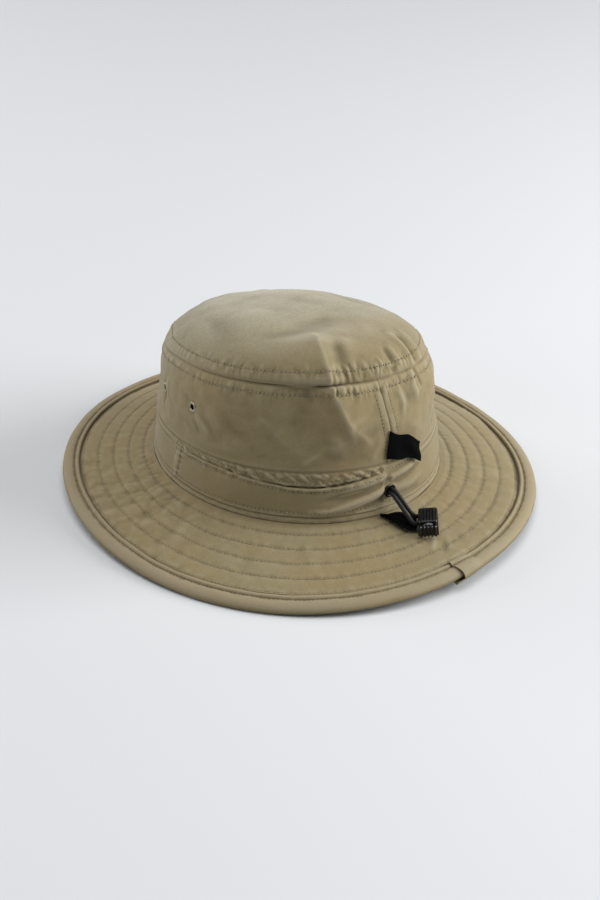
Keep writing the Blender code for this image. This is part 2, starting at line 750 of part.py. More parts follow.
def main():
    remove_all_objects()
    left, right = make_crown()
    band = make_band()
    sweatband = make_sweatband()
    make_brim()
    make_vents(left, right)
    seat = make_cord_eyelet(left, right, band, sweatband)
    make_cord_and_lock(seat)
    make_back_tag()


main()
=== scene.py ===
"""Boonie hat: cloth, stitching, hardware, floor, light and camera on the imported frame.

Metres and degrees, +Z up. The face looks out along -Y and the wearer's left is +X. Angles run from +X
towards +Y. Levels run up the crown wall: 0 at the brim, 1 at the crown seam. In the functions below, a is
an angle, t a level, r a rise over the tip, and h how far the cloth stands out.
"""
from math import cos, pi, radians, sin

import bpy
import numpy as np
from mathutils import Matrix, Vector, noise


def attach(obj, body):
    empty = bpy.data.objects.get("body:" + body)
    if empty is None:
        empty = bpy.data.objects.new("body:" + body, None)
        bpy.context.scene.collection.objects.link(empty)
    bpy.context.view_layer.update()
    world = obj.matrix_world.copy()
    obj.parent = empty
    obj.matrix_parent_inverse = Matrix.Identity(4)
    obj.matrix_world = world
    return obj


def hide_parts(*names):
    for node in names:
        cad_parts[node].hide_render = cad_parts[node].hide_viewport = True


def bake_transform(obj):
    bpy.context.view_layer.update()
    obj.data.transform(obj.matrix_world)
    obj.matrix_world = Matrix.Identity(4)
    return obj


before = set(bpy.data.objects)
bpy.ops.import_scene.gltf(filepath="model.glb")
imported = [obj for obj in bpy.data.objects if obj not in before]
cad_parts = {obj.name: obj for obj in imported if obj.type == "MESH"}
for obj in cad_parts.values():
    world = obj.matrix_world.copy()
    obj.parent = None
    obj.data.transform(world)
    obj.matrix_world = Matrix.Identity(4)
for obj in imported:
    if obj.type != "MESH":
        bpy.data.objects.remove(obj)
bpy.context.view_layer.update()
MM = 0.001

# ---- the hat's surfaces, as its solids have them ----
HEAD = (0.0895, 0.1015)
SHIFT = (-0.0016, -0.0038)
BASE = 0.0194
RISE_MM = 79.8                 # crown base to crown seam
RISE = RISE_MM * MM
DEGREE_MM = 1.66               # one degree round the crown
SEAM_SCALE = 0.862
SEAM_LEAN = (0.0096, 0.0128)
BASE_LEAN = (0.0016, 0.0027)
DOME = 0.0281
OUTLINE = (0.1526, 0.1654)
BACK = 86.0
FRONT = 266.0

# ---- where sewn things lie: angles, levels, or both in that order ----
BAND_TOP = 0.388
POCKET = (-10.4, 83.0)         # its two ends round the crown
POCKET_ENDS = (((-9.8, 0.335), (-11.6, 0.056)), ((-5.3, 0.333), (-8.0, 0.070)))
WALL_ROW = 0.938
FOOT_ROW = 0.086               # low on the band and the pocket
TIP_ROW = 14.0
BRIM_ROWS = (0.165, 0.375, 0.585, 0.795, 1.0)      # shares of the brim inside its binding
BRIM_SEWN_IN = 14.0 * MM       # what the binding and its seam take of the brim's width
CORD_EYELET = (85.2, 0.175)
LOCK_AT = (91.2, 24.5 * MM)    # the second is a distance out along the brim
LOCK_HEADING = 48.0
LOCK_ROLL = 13.0
LOCK_STAND = 6.8 * MM          # its middle over the brim
CORD_LANES = (-4.8, 2.2)       # each strand on the lock's long axis, in millimetres
VENTS = {"vent_eyelet_left_rear": (0.5, 0.715), "vent_eyelet_left_front": (-22.0, 0.715),
         "vent_eyelet_right_rear": (173.0, 0.715), "vent_eyelet_right_front": (195.5, 0.715)}
RING = np.arange(720) * 0.5    # half degrees, once round the hat
STITCH_PITCH = 2.7 * MM
STITCH_LENGTH = 2.0 * MM

# ---- where the camera stands ----
CAMERA_PLACE = (0.6996, 0.8317, 0.6908)
CAMERA_TURN = (139.84, 31.68, -0.2)     # heading, fall and roll
CAMERA_LENS = 76.4


def wall(a, t, out=0.0):
    """The plain side of the crown, leaning a little and drawn in towards the tip."""
    a = np.radians(a)
    scale = 1.0 - 0.040 * np.sin(pi * t) - (1.0 - SEAM_SCALE) * np.maximum(t, 0.0) ** 4.83
    lean = [low * (1.0 - t) + high * t for low, high in zip(BASE_LEAN, SEAM_LEAN)]
    height = BASE + RISE * t + lean[0] * np.cos(a) + lean[1] * np.sin(a)
    x = (HEAD[0] * scale + out) * np.cos(a) + SHIFT[0]
    y = (HEAD[1] * scale + out) * np.sin(a) + SHIFT[1]
    return np.stack(np.broadcast_arrays(x, y, height), -1)


def tip(a, r):
    """The dome over the crown seam: r is 0 at the seam and 90 at its top."""
    a, r = np.radians(a), np.radians(r)
    x = HEAD[0] * SEAM_SCALE * np.cos(r) * np.cos(a) + SHIFT[0]
    y = HEAD[1] * SEAM_SCALE * np.cos(r) * np.sin(a) + SHIFT[1]
    lean = (SEAM_LEAN[0] * np.cos(a) + SEAM_LEAN[1] * np.sin(a)) * np.cos(r)
    height = BASE + RISE + 0.0003 + lean + DOME * np.sin(r)
    return np.stack(np.broadcast_arrays(x, y, height), -1)


def edge_height(a):
    """How high the brim's edge stands: it waves gently."""
    a = np.radians(a)
    lift = 2.9 + 1.4 * np.cos(a) + 1.2 * np.sin(a) - 1.5 * np.cos(2 * a) - 2.9 * np.sin(2 * a)
    return 0.0033 + MM * np.maximum(lift - 1.5 * np.sin(3 * a), 0.0)


def brim_run(a):
    """The brim's inner end, its unit direction outwards and its width at an angle."""
    inner = wall(a, np.zeros_like(a))
    rad = np.radians(a)
    outer = np.stack([OUTLINE[0] * np.cos(rad), OUTLINE[1] * np.sin(rad), edge_height(a)], -1)
    width = np.linalg.norm(outer - inner, axis=-1)
    return inner, (outer - inner) / width[..., None], width


def brim(a, out, up=0.0):
    """The plain brim, at a distance out from the crown."""
    inner, along, _ = brim_run(a)
    place = inner + along * np.asarray(out)[..., None]
    place[..., 2] += up
    return place


def back_seam(t):
    """Angle of the back seam, which leans with the crown."""
    s = np.clip((t - 0.45) / 0.55, 0.0, 1.0)
    return 88.3 - 4.8 * s * s * (3.0 - 2.0 * s)


def pocket_mouth(a):
    """Level of the pocket's opening, which sags near its middle."""
    return 0.336 - 0.062 * np.exp(-(((a - 51.0) / 25.0) ** 2))


def half_turn(a):
    """The same angle, between -180 and 180."""
    return np.mod(a + 180.0, 360.0) - 180.0


def axes_at(place, x, y, z):
    return Matrix.Translation(place) @ Matrix((x, y, z)).transposed().to_4x4()


# ---- relief: folds, puckers and seams ----
def bell(value, middle, width):
    """1 at the middle, falling to nothing about two widths away."""
    return np.exp(-(((value - middle) / width) ** 2))


def step(value, low, high):
    """A smooth step from 0 below the low mark to 1 above the high one."""
    s = np.clip((value - low) / (high - low), 0.0, 1.0)
    return s * s * (3.0 - 2.0 * s)


def fold(x, y, points, width, height, fade=(1.0, 1.0), sharp=0.0):
    """A ridge, or a valley if height is below 0, along a line of points, fading out towards its ends.

    A pair of widths is for the left and the right of the line. A sharp fold has a crest of that radius.
    """
    left, right = width if isinstance(width, tuple) else (width, width)
    best = np.full(x.shape, 1e9)
    along, reach = np.zeros(x.shape), np.zeros(x.shape)
    total = sum(np.hypot(b[0] - a[0], b[1] - a[1]) for a, b in zip(points, points[1:]))
    done = 0.0
    for a, b in zip(points, points[1:]):
        dx, dy = b[0] - a[0], b[1] - a[1]
        length = np.hypot(dx, dy)
        s = np.clip(((x - a[0]) * dx + (y - a[1]) * dy) / length ** 2, 0.0, 1.0)
        distance = np.hypot(x - a[0] - s * dx, y - a[1] - s * dy)
        near = distance < best
        best = np.where(near, distance, best)
        on_left = dx * (y - a[1]) - dy * (x - a[0]) > 0.0
        reach = np.where(near, np.where(on_left, left, right), reach)
        along = np.where(near, done + s * length, along)
        done += length
    share = along / total
    strength = 1.0 - fade[0] * (1.0 - step(share, 0.0, 0.45)) - fade[1] * step(share, 0.55, 1.0)
    if sharp:
        return height * np.maximum(strength, 0.0) * np.exp((sharp - np.hypot(best, sharp)) / reach)
    return height * np.maximum(strength, 0.0) * np.exp(-((best / reach) ** 2))


def grain(points, size, seed=0.0):
    """Smooth noise in space, about -1 to 1. The size is one number or one for each axis."""
    scaled = (points / np.asarray(size)).reshape(-1, 3) + seed * 7.31
    values = [noise.noise(p) for p in scaled.tolist()]
    return np.array(values).reshape(points.shape[:-1]) * 1.6


def creased(value):
    """Turns smooth noise into rounded gathers with sharp valleys between them."""
    return 1.7 * np.abs(value) ** 0.8 - 0.6


def flat_grain(x, y, sizes, seed=0.0):
    return grain(np.stack([x / sizes[0], y / sizes[1], np.full(x.shape, seed * 3.7)], -1), 1.0, seed)


def ring_grain(a, across, sizes, seed=0.0, radius=95.0):
    """Noise that runs round the hat and closes on itself."""
    a = np.radians(a)
    parts = [radius / sizes[0] * np.cos(a), radius / sizes[0] * np.sin(a), across / sizes[1]]
    return grain(np.stack(np.broadcast_arrays(*parts), -1), 1.0, seed)


def blurred(values, reach, ring):
    """A box blur over a grid, for telling creases from crests."""
    result = values.copy()
    for axis in (0, 1):
        total = np.zeros_like(result)
        for shift in range(-reach, reach + 1):
            if axis == 0 and ring:
                total += np.roll(result, shift, 0)
            else:
                index = np.clip(np.arange(result.shape[axis]) + shift, 0, result.shape[axis] - 1)
                total += np.take(result, index, axis)
        result = total / (2 * reach + 1)
    return result


def length_along(points):
    """How far along a line each of its points lies."""
    return np.concatenate([[0.0], np.cumsum(np.linalg.norm(np.diff(points, axis=0), axis=-1))])


def unit(vectors):
    return vectors / np.maximum(np.linalg.norm(vectors, axis=-1, keepdims=True), 1e-12)


def along_line(marks, gone, values):
    return np.stack([np.interp(marks, gone, values[:, k]) for k in range(3)], -1)


def normals(grid, ring):
    across = np.roll(grid, -1, 0) - np.roll(grid, 1, 0) if ring else np.gradient(grid, axis=0)
    return unit(np.cross(across, np.gradient(grid, axis=1)))


def raised(flat, height, ring):
    """A surface moved out along its own normals."""
    return flat + normals(flat, ring) * height[..., None]


def index_of(value, marks):
    """Where a value lies among rising marks, counted in marks."""
    return np.interp(value, marks, np.arange(len(marks)))


def folds(x, y, table, to=lambda *point: point):
    """All folds of a table: points, width, height and, where it needs them, fade and sharpness."""
    return sum(fold(x, y, [to(*p) for p in points], *shape) for points, *shape in table)


# ---- meshes ----
def add_mesh(name, points, quads, material, uv=None, painted_relief_shade=None):
    mesh = bpy.data.meshes.new(name)
    mesh.vertices.add(len(points))
    mesh.vertices.foreach_set("co", np.asarray(points, np.float32).ravel())
    mesh.loops.add(quads.size)
    mesh.loops.foreach_set("vertex_index", quads.astype(np.int32).ravel())
    mesh.polygons.add(len(quads))
    mesh.polygons.foreach_set("loop_start", np.arange(0, quads.size, 4, dtype=np.int32))
    if uv is not None:
        mesh.uv_layers.new(name="cloth").data.foreach_set("uv", np.asarray(uv, np.float32).ravel())
    if painted_relief_shade is not None:
        layer = mesh.attributes.new("painted_relief_shade", "FLOAT", "POINT")
        layer.data.foreach_set("value", np.asarray(painted_relief_shade, np.float32))
    mesh.update(calc_edges=True)
    mesh.shade_smooth()
    mesh.set_sharp_from_angle(angle=radians(50.0))
    mesh.materials.append(material)
    thing = bpy.data.objects.new(name, mesh)
    bpy.context.scene.collection.objects.link(thing)
    return thing


def grid_quads(rows, columns, ring):
    i, j = np.meshgrid(np.arange(rows if ring else rows - 1), np.arange(columns - 1), indexing="ij")
    here, there = i * columns + j, (i + 1) % rows * columns + j
    return np.stack([here, there, there + 1, here + 1], -1).reshape(-1, 4)


def cloth(name, grid, material, thick=0.8 * MM, ring=True, relief=None):
    """A sheet of cloth with its face on the grid. Rows run round the hat and columns up or inwards."""
    rows, columns = grid.shape[:2]
    facing = normals(grid, ring)
    count = rows * columns
    points = np.concatenate([grid.reshape(-1, 3), (grid - facing * thick).reshape(-1, 3)])
    face = grid_quads(rows, columns, ring)
    low = np.arange(rows if ring else rows - 1) * columns
    next_low = (low + columns) % count
    high, next_high = low + columns - 1, next_low + columns - 1
    rims = [np.stack([low, low + count, next_low + count, next_low], -1),
            np.stack([high, next_high, next_high + count, high + count], -1)]
    if not ring:
        j = np.arange(columns - 1)
        last = (rows - 1) * columns
        rims.append(np.stack([j, j + 1, j + 1 + count, j + count], -1))
        rims.append(np.stack([last + j, last + j + count, last + j + 1 + count, last + j + 1], -1))
    quads = np.concatenate([face, face[:, ::-1] + count, *rims])
    gone = np.linalg.norm(np.diff(grid, axis=0, append=grid[:1]), axis=-1).mean(1)
    u = np.concatenate([[0.0], np.cumsum(gone)])
    v = np.concatenate([[0.0], np.cumsum(np.linalg.norm(np.diff(grid, axis=1), axis=-1).mean(0))])
    row = (quads % count) // columns
    wraps = ring & (row.max(1) == rows - 1) & (row.min(1) == 0)
    row = np.where(wraps[:, None] & (row == 0), rows, row)
    uv = np.stack([u[row], v[(quads % count) % columns]], -1)
    # painted shade and highlight: where the relief lies below its blur, in creases, the cloth's colour is
    # darkened; where it lies above, on crests, it is lightened
    painted_relief_shade = np.zeros(count)
    if relief is not None:
        painted_relief_shade = np.clip((relief - blurred(relief, 4, ring)) / (0.35 * MM), -1.5, 1.5).ravel()
    return add_mesh(name, points, quads, material, uv, np.tile(painted_relief_shade, 2))


def sampled(grid, rows, columns, ring=True):
    """Points and unit normals on a grid at fractional rows and columns."""
    facing = normals(grid, ring)
    count = grid.shape[0]
    r, c = np.broadcast_arrays(np.asarray(rows, float), np.asarray(columns, float))
    c = np.clip(c, 0.0, grid.shape[1] - 1.001)
    if not ring:
        r = np.clip(r, 0.0, count - 1.001)
    r0, c0 = np.floor(r).astype(int), np.floor(c).astype(int)
    fr, fc = (r - r0)[..., None], (c - c0)[..., None]
    r1 = (r0 + 1) % count
    r0 = r0 % count
    result = []
    for field in (grid, facing):
        low = field[r0, c0] * (1 - fc) + field[r0, c0 + 1] * fc
        high = field[r1, c0] * (1 - fc) + field[r1, c0 + 1] * fc
        result.append(low * (1 - fr) + high * fr)
    return result[0], result[1]


def tidy_path(points, facing, pitch):
    """Evenly spaced places along a line, with the direction of the line and the way out of the cloth."""
    gone = length_along(points)
    count = max(int(gone[-1] / pitch), 1)
    marks = (np.arange(count) + 0.5) * gone[-1] / count
    reach = 0.3 * MM
    along = unit(along_line(marks + reach, gone, points) - along_line(marks - reach, gone, points))
    out = along_line(marks, gone, facing)
    out = unit(out - along * (out * along).sum(-1, keepdims=True))
    return along_line(marks, gone, points), along, out


def beads(place, along, out, length, radius, lift):
    """Short rounded lengths of thread, each diving into the cloth at its ends."""
    sides = 6
    across = np.cross(out, along)
    x = np.array([-0.5, -0.34, 0.0, 0.34, 0.5]) * length
    size = np.array([0.45, 0.9, 1.0, 0.9, 0.45]) * radius
    up = np.array([-1.1, 0.25, 0.55, 0.25, -1.1]) * radius + lift
    turn = np.arange(sides) * 2 * pi / sides
    rise = (up[:, None] + size[:, None] * np.cos(turn))[..., None]
    rings = place[:, None, None] + along[:, None, None] * x[:, None, None]
    rings = rings + out[:, None, None] * rise
    rings = rings + across[:, None, None] * (size[:, None] * np.sin(turn))[..., None]
    index = np.arange(5 * sides).reshape(5, sides).T.ravel()
    one = index[grid_quads(sides, 5, True)]
    quads = (one[None] + (np.arange(len(place)) * 5 * sides)[:, None, None]).reshape(-1, 4)
    return rings.reshape(-1, 3), quads


class Thread:
    """Gathers rows of stitches that ride together."""

    def __init__(self):
        self.points, self.quads, self.count = [], [], 0
        self.holes, self.hole_quads, self.hole_count = [], [], 0

    def add(self, points, facing, radius=0.24 * MM, holes=0.22 * MM):
        place, along, out = tidy_path(points, facing, STITCH_PITCH)
        found, quads = beads(place, along, out, STITCH_LENGTH, radius, 0.0)
        self.points.append(found)
        self.quads.append(quads + self.count)
        self.count += len(found)
        # dark beads sunk between the stitches: painted shade in the needle holes
        if holes:
            place = place + along * STITCH_PITCH / 2
            found, quads = beads(place, along, out, 0.6 * MM, holes, -0.4 * holes)
            self.holes.append(found)
            self.hole_quads.append(quads + self.hole_count)
            self.hole_count += len(found)

    def sew(self, grid, rows, columns, ring=True, **stitch):
        """A row of stitches along a grid, at fractional rows and columns."""
        self.add(*sampled(grid, rows, columns, ring), **stitch)

    def finish(self, name, slot="khaki_fabric", material=None, hole_material=None):
        points, quads = np.concatenate(self.points), np.concatenate(self.quads)
        put(add_mesh(name, points, quads, material), slot=slot)
        if self.holes:
            points, quads = np.concatenate(self.holes), np.concatenate(self.hole_quads)
            put(add_mesh(name + "_needle_hole_shade", points, quads, hole_material), slot=slot)


def put(thing, *nodes, body="hat", slot="khaki_fabric"):
    """Sets a finished piece in the place of its solids, on its body."""
    if nodes:
        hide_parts(*nodes)
    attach(thing, body)


# ---- materials ----
def shader_of(name, colour, roughness, metallic=0.0, sheen=0.0, specular=0.5):
    material = bpy.data.materials.new(name)
    material.use_nodes = True
    tree = material.node_tree
    shader = tree.nodes["Principled BSDF"]
    shader.inputs["Base Color"].default_value = (*colour, 1.0)
    shader.inputs["Roughness"].default_value = roughness
    shader.inputs["Metallic"].default_value = metallic
    shader.inputs["Specular IOR Level"].default_value = specular
    shader.inputs["Sheen Weight"].default_value = sheen
    shader.inputs["Sheen Roughness"].default_value = 0.45
    return material, tree, shader


def node(tree, kind, inputs=(), **settings):
    made = tree.nodes.new(kind)
    for key, value in settings.items():
        setattr(made, key, value)
    for key, value in dict(inputs).items():
        if isinstance(value, bpy.types.NodeSocket):
            tree.links.new(value, made.inputs[key])
        else:
            made.inputs[key].default_value = value
    return made


def speckle(tree, where, scale, detail):
    return node(tree, "ShaderNodeTexNoise", {"Vector": where, "Scale": scale, "Detail": detail}).outputs[0]


def bumped(tree, shader, strength, deep, height):
    bump = node(tree, "ShaderNodeBump", {"Strength": strength, "Distance": deep, "Height": height})
    tree.links.new(bump.outputs[0], shader.inputs["Normal"])


def dyed(colour, share):
    return tuple(c * share for c in colour)


def math(tree, operation, a, b=0.0):
    return node(tree, "ShaderNodeMath", {0: a, 1: b}, operation=operation).outputs[0]


def mixed(tree, share, a, b):
    made = node(tree, "ShaderNodeMix", data_type="RGBA")
    for key, value in ((0, share), (6, a), (7, b)):
        if isinstance(value, bpy.types.NodeSocket):
            tree.links.new(value, made.inputs[key])
        else:
            made.inputs[key].default_value = (*value, 1.0) if key else value
    return made.outputs[2]


def ranged(tree, value, low, high, to_low, to_high):
    return node(tree, "ShaderNodeMapRange", {0: value, 1: low, 2: high, 3: to_low, 4: to_high}).outputs[0]


def weave(tree, pitch):
    """Height of a plain weave: two crossed sets of yarns that run with the cloth."""
    where = node(tree, "ShaderNodeUVMap", uv_map="cloth").outputs[0]
    parts = node(tree, "ShaderNodeSeparateXYZ", {0: where}).outputs
    slub = speckle(tree, where, 900.0, 1.0)
    u = math(tree, "MULTIPLY", parts[0], 2 * pi / pitch)
    v = math(tree, "MULTIPLY", parts[1], 2 * pi / pitch)
    v = math(tree, "ADD", v, math(tree, "MULTIPLY", slub, 1.2))
    over = math(tree, "MULTIPLY", math(tree, "SINE", u), math(tree, "SINE", v))
    ribs = math(tree, "ABSOLUTE", math(tree, "COSINE", v))
    ribs = math(tree, "ADD", ribs, math(tree, "MULTIPLY", over, 0.6))
    return math(tree, "ADD", ribs, math(tree, "MULTIPLY", slub, 0.8))


def fabric(name, colour, light, roughness=0.86, sheen=0.4, pitch=0.55 * MM, specular=0.14, painted_top_light=None):
    """Woven cloth: yarns, soft mottling, painted shade in creases and between yarns, painted highlight on
    crests.
    """
    material, tree, shader = shader_of(name, colour, roughness, sheen=sheen, specular=specular)
    if sheen > 0.2:
        shader.inputs["Sheen Tint"].default_value = (0.95, 0.91, 0.80, 1.0)
    else:
        shader.inputs["Sheen Tint"].default_value = (0.5, 0.5, 0.5, 1.0)
    height = weave(tree, pitch)
    place = node(tree, "ShaderNodeTexCoord").outputs["Object"]
    cloud, speck = speckle(tree, place, 26.0, 3.0), speckle(tree, place, 700.0, 2.0)
    warm = tuple(c * k for c, k in zip(colour, (1.05, 0.97, 0.88)))
    tint = mixed(tree, ranged(tree, cloud, 0.35, 0.65, 0.0, 1.0), colour, warm)
    # painted light: the cloth turns towards a paler colour high on the crown, more so towards its front and
    # the wearer's right, where the lamps make it bright
    if painted_top_light:
        parts = node(tree, "ShaderNodeSeparateXYZ", {0: place}).outputs
        level = math(tree, "ADD", parts[2], math(tree, "MULTIPLY", parts[1], -0.45))
        level = math(tree, "ADD", level, math(tree, "MULTIPLY", parts[0], -0.20))
        tint = mixed(tree, ranged(tree, level, 0.092, 0.136, 0.0, 0.9), tint, painted_top_light)
    tint = mixed(tree, ranged(tree, speck, 0.3, 0.7, 0.0, 0.55), tint, dyed(colour, 0.80))
    # painted shade: the colour darkens where the weave is low, between the yarns
    tint = mixed(tree, ranged(tree, height, 0.2, 1.6, 0.28, 0.0), tint, dyed(colour, 0.66))
    # painted shade in creases and painted highlight on crests: below 0 the relief value darkens the colour,
    # above 0 it mixes in the light colour
    painted_relief_shade = node(tree, "ShaderNodeAttribute", attribute_name="painted_relief_shade").outputs["Fac"]
    tint = mixed(tree, ranged(tree, painted_relief_shade, -1.1, 0.0, 0.52, 0.0), tint, dyed(colour, 0.42))
    tint = mixed(tree, ranged(tree, painted_relief_shade, 0.1, 1.2, 0.0, 0.35), tint, light)
    tree.links.new(tint, shader.inputs["Base Color"])
    bumped(tree, shader, 0.35, 0.05 * MM, height)
    gloss = ranged(tree, cloud, 0.3, 0.7, roughness - 0.06, roughness + 0.06)
    tree.links.new(gloss, shader.inputs["Roughness"])
    return material


def thread_material(name, colour, roughness=0.6):
    material, tree, shader = shader_of(name, colour, roughness, sheen=0.15, specular=0.35)
    twist = speckle(tree, node(tree, "ShaderNodeTexCoord").outputs["Object"], 1500.0, 1.0)
    tint = mixed(tree, twist, dyed(colour, 0.8), dyed(colour, 1.15))
    tree.links.new(tint, shader.inputs["Base Color"])
    bumped(tree, shader, 0.4, 0.05 * MM, twist)
    return material


def moulded(name, colour, roughness, metallic=0.0, wear=None):
    """Moulded plastic or metal with a fine surface, scuffed where wear is a colour."""
    material, tree, shader = shader_of(name, colour, roughness, metallic)
    place = node(tree, "ShaderNodeTexCoord").outputs["Object"]
    fine, broad = speckle(tree, place, 900.0, 3.0), speckle(tree, place, 180.0, 2.0)
    scuffed = wear or dyed(colour, 1.6)
    tint = mixed(tree, ranged(tree, broad, 0.52, 0.68, 0.0, 0.6), colour, scuffed)
    tree.links.new(tint, shader.inputs["Base Color"])
    gloss = ranged(tree, fine, 0.3, 0.7, roughness - 0.08, roughness + 0.1)
    tree.links.new(gloss, shader.inputs["Roughness"])
    bumped(tree, shader, 0.25, 0.04 * MM, fine)
    return material


KHAKI = (0.270, 0.221, 0.121)
# each fabric's third value is the colour of its painted highlight on crests; the shell cloth's last colour
# is painted light high on the crown
shell_cloth = fabric("khaki_shell_cloth", KHAKI, (0.41, 0.37, 0.26), painted_top_light=(0.425, 0.405, 0.315))
binding_cloth = fabric("khaki_binding_cloth", (0.268, 0.220, 0.126), (0.40, 0.35, 0.25), sheen=0.15)
lining_cloth = fabric("khaki_lining_cloth", (0.205, 0.178, 0.115), (0.30, 0.27, 0.20), 0.9, 0.15)
thread_tone = thread_material("khaki_thread", (0.30, 0.262, 0.170))
painted_hole_shadow = thread_material("needle_hole_shadow", (0.085, 0.070, 0.040), 0.9)
black_cloth = fabric("black_ribbon_cloth", (0.0025, 0.0024, 0.0025), (0.006, 0.006, 0.0065), 0.9, sheen=0.0,
                     pitch=0.8 * MM, specular=0.05)
black_braid = thread_material("black_elastic_braid", (0.0055, 0.0052, 0.0056), 0.55)
black_plastic = moulded("black_moulded_plastic", (0.0060, 0.0060, 0.0065), 0.30)
black_enamel = moulded("black_enamelled_metal", (0.012, 0.011, 0.011), 0.26, 0.6, wear=(0.16, 0.155, 0.145))
khaki_enamel = moulded("khaki_enamelled_metal", (0.30, 0.265, 0.185), 0.34, 0.75, wear=(0.55, 0.52, 0.44))
wire = moulded("spring_wire", (0.20, 0.20, 0.21), 0.30, 1.0)


# ---- camera, light and floor ----
def make_camera():
    camera = bpy.data.cameras.new("camera")
    camera.sensor_width = 36.0
    camera.lens = CAMERA_LENS
    camera.clip_start, camera.clip_end = 0.05, 50.0
    thing = bpy.data.objects.new("camera", camera)
    bpy.context.scene.collection.objects.link(thing)
    heading, fall, roll = (radians(angle) for angle in CAMERA_TURN)
    ahead = Vector((-sin(heading) * cos(fall), cos(heading) * cos(fall), -sin(fall)))
    right = ahead.cross(Vector((0.0, 0.0, 1.0))).normalized()
    up = right.cross(ahead)
    turned_right = right * cos(roll) + up * sin(roll)
    turned_up = up * cos(roll) - right * sin(roll)
    thing.matrix_world = axes_at(CAMERA_PLACE, turned_right, turned_up, -ahead)
    bpy.context.scene.camera = thing


def make_light(name, place, aim, size, power):
    """A panel where the size is a pair of sides, or a sun where it is the sun's angle."""
    flat = isinstance(size, tuple)
    light = bpy.data.lights.new(name, "AREA" if flat else "SUN")
    if flat:
        light.shape = "RECTANGLE"
        light.size, light.size_y = size
    else:
        light.angle = size
    light.energy = power
    thing = bpy.data.objects.new(name, light)
    bpy.context.scene.collection.objects.link(thing)
    thing.location = place
    thing.rotation_euler = (Vector(aim) - Vector(place)).to_track_quat("-Z", "Y").to_euler()


def make_studio():
    scene = bpy.context.scene
    scene.view_settings.view_transform = "Standard"
    world = bpy.data.worlds.new("studio")
    scene.world = world
    world.use_nodes = True
    backdrop = world.node_tree.nodes["Background"]
    backdrop.inputs["Color"].default_value = (0.97, 0.98, 1.0, 1.0)
    backdrop.inputs["Strength"].default_value = 0.06
    material, _, _ = shader_of("pale_floor", (0.66, 0.675, 0.69), 0.9, specular=0.1)
    size = 30.0
    corners = np.array([[-size, -size, 0], [size, -size, 0], [size, size, 0], [-size, size, 0]], float)
    floor = add_mesh("floor", corners - [0, 0, 0.0002], np.array([[0, 1, 2, 3]]), material)
    aim = (0.0, 0.0, 0.06)
    make_light("key_right", (-1.1, 1.0, 0.75), aim, (1.2, 0.9), 32.0)
    make_light("overhead", (0.0, 0.0, 3.0), aim, radians(48.0), 1.62)
    make_light("rim_left", (0.5, -1.4, 0.8), aim, (0.8, 0.7), 7.0)
    make_light("fill_left", (1.4, -0.7, 0.5), aim, (0.8, 0.6), 6.2)


make_camera()
make_studio()

thread = Thread()


# ---- crown ----
def mm_round(a):
    """Distance round the crown from the back seam, in millimetres."""
    return (a - BACK) * DEGREE_MM


def at(a, t):
    return mm_round(a), t * RISE_MM


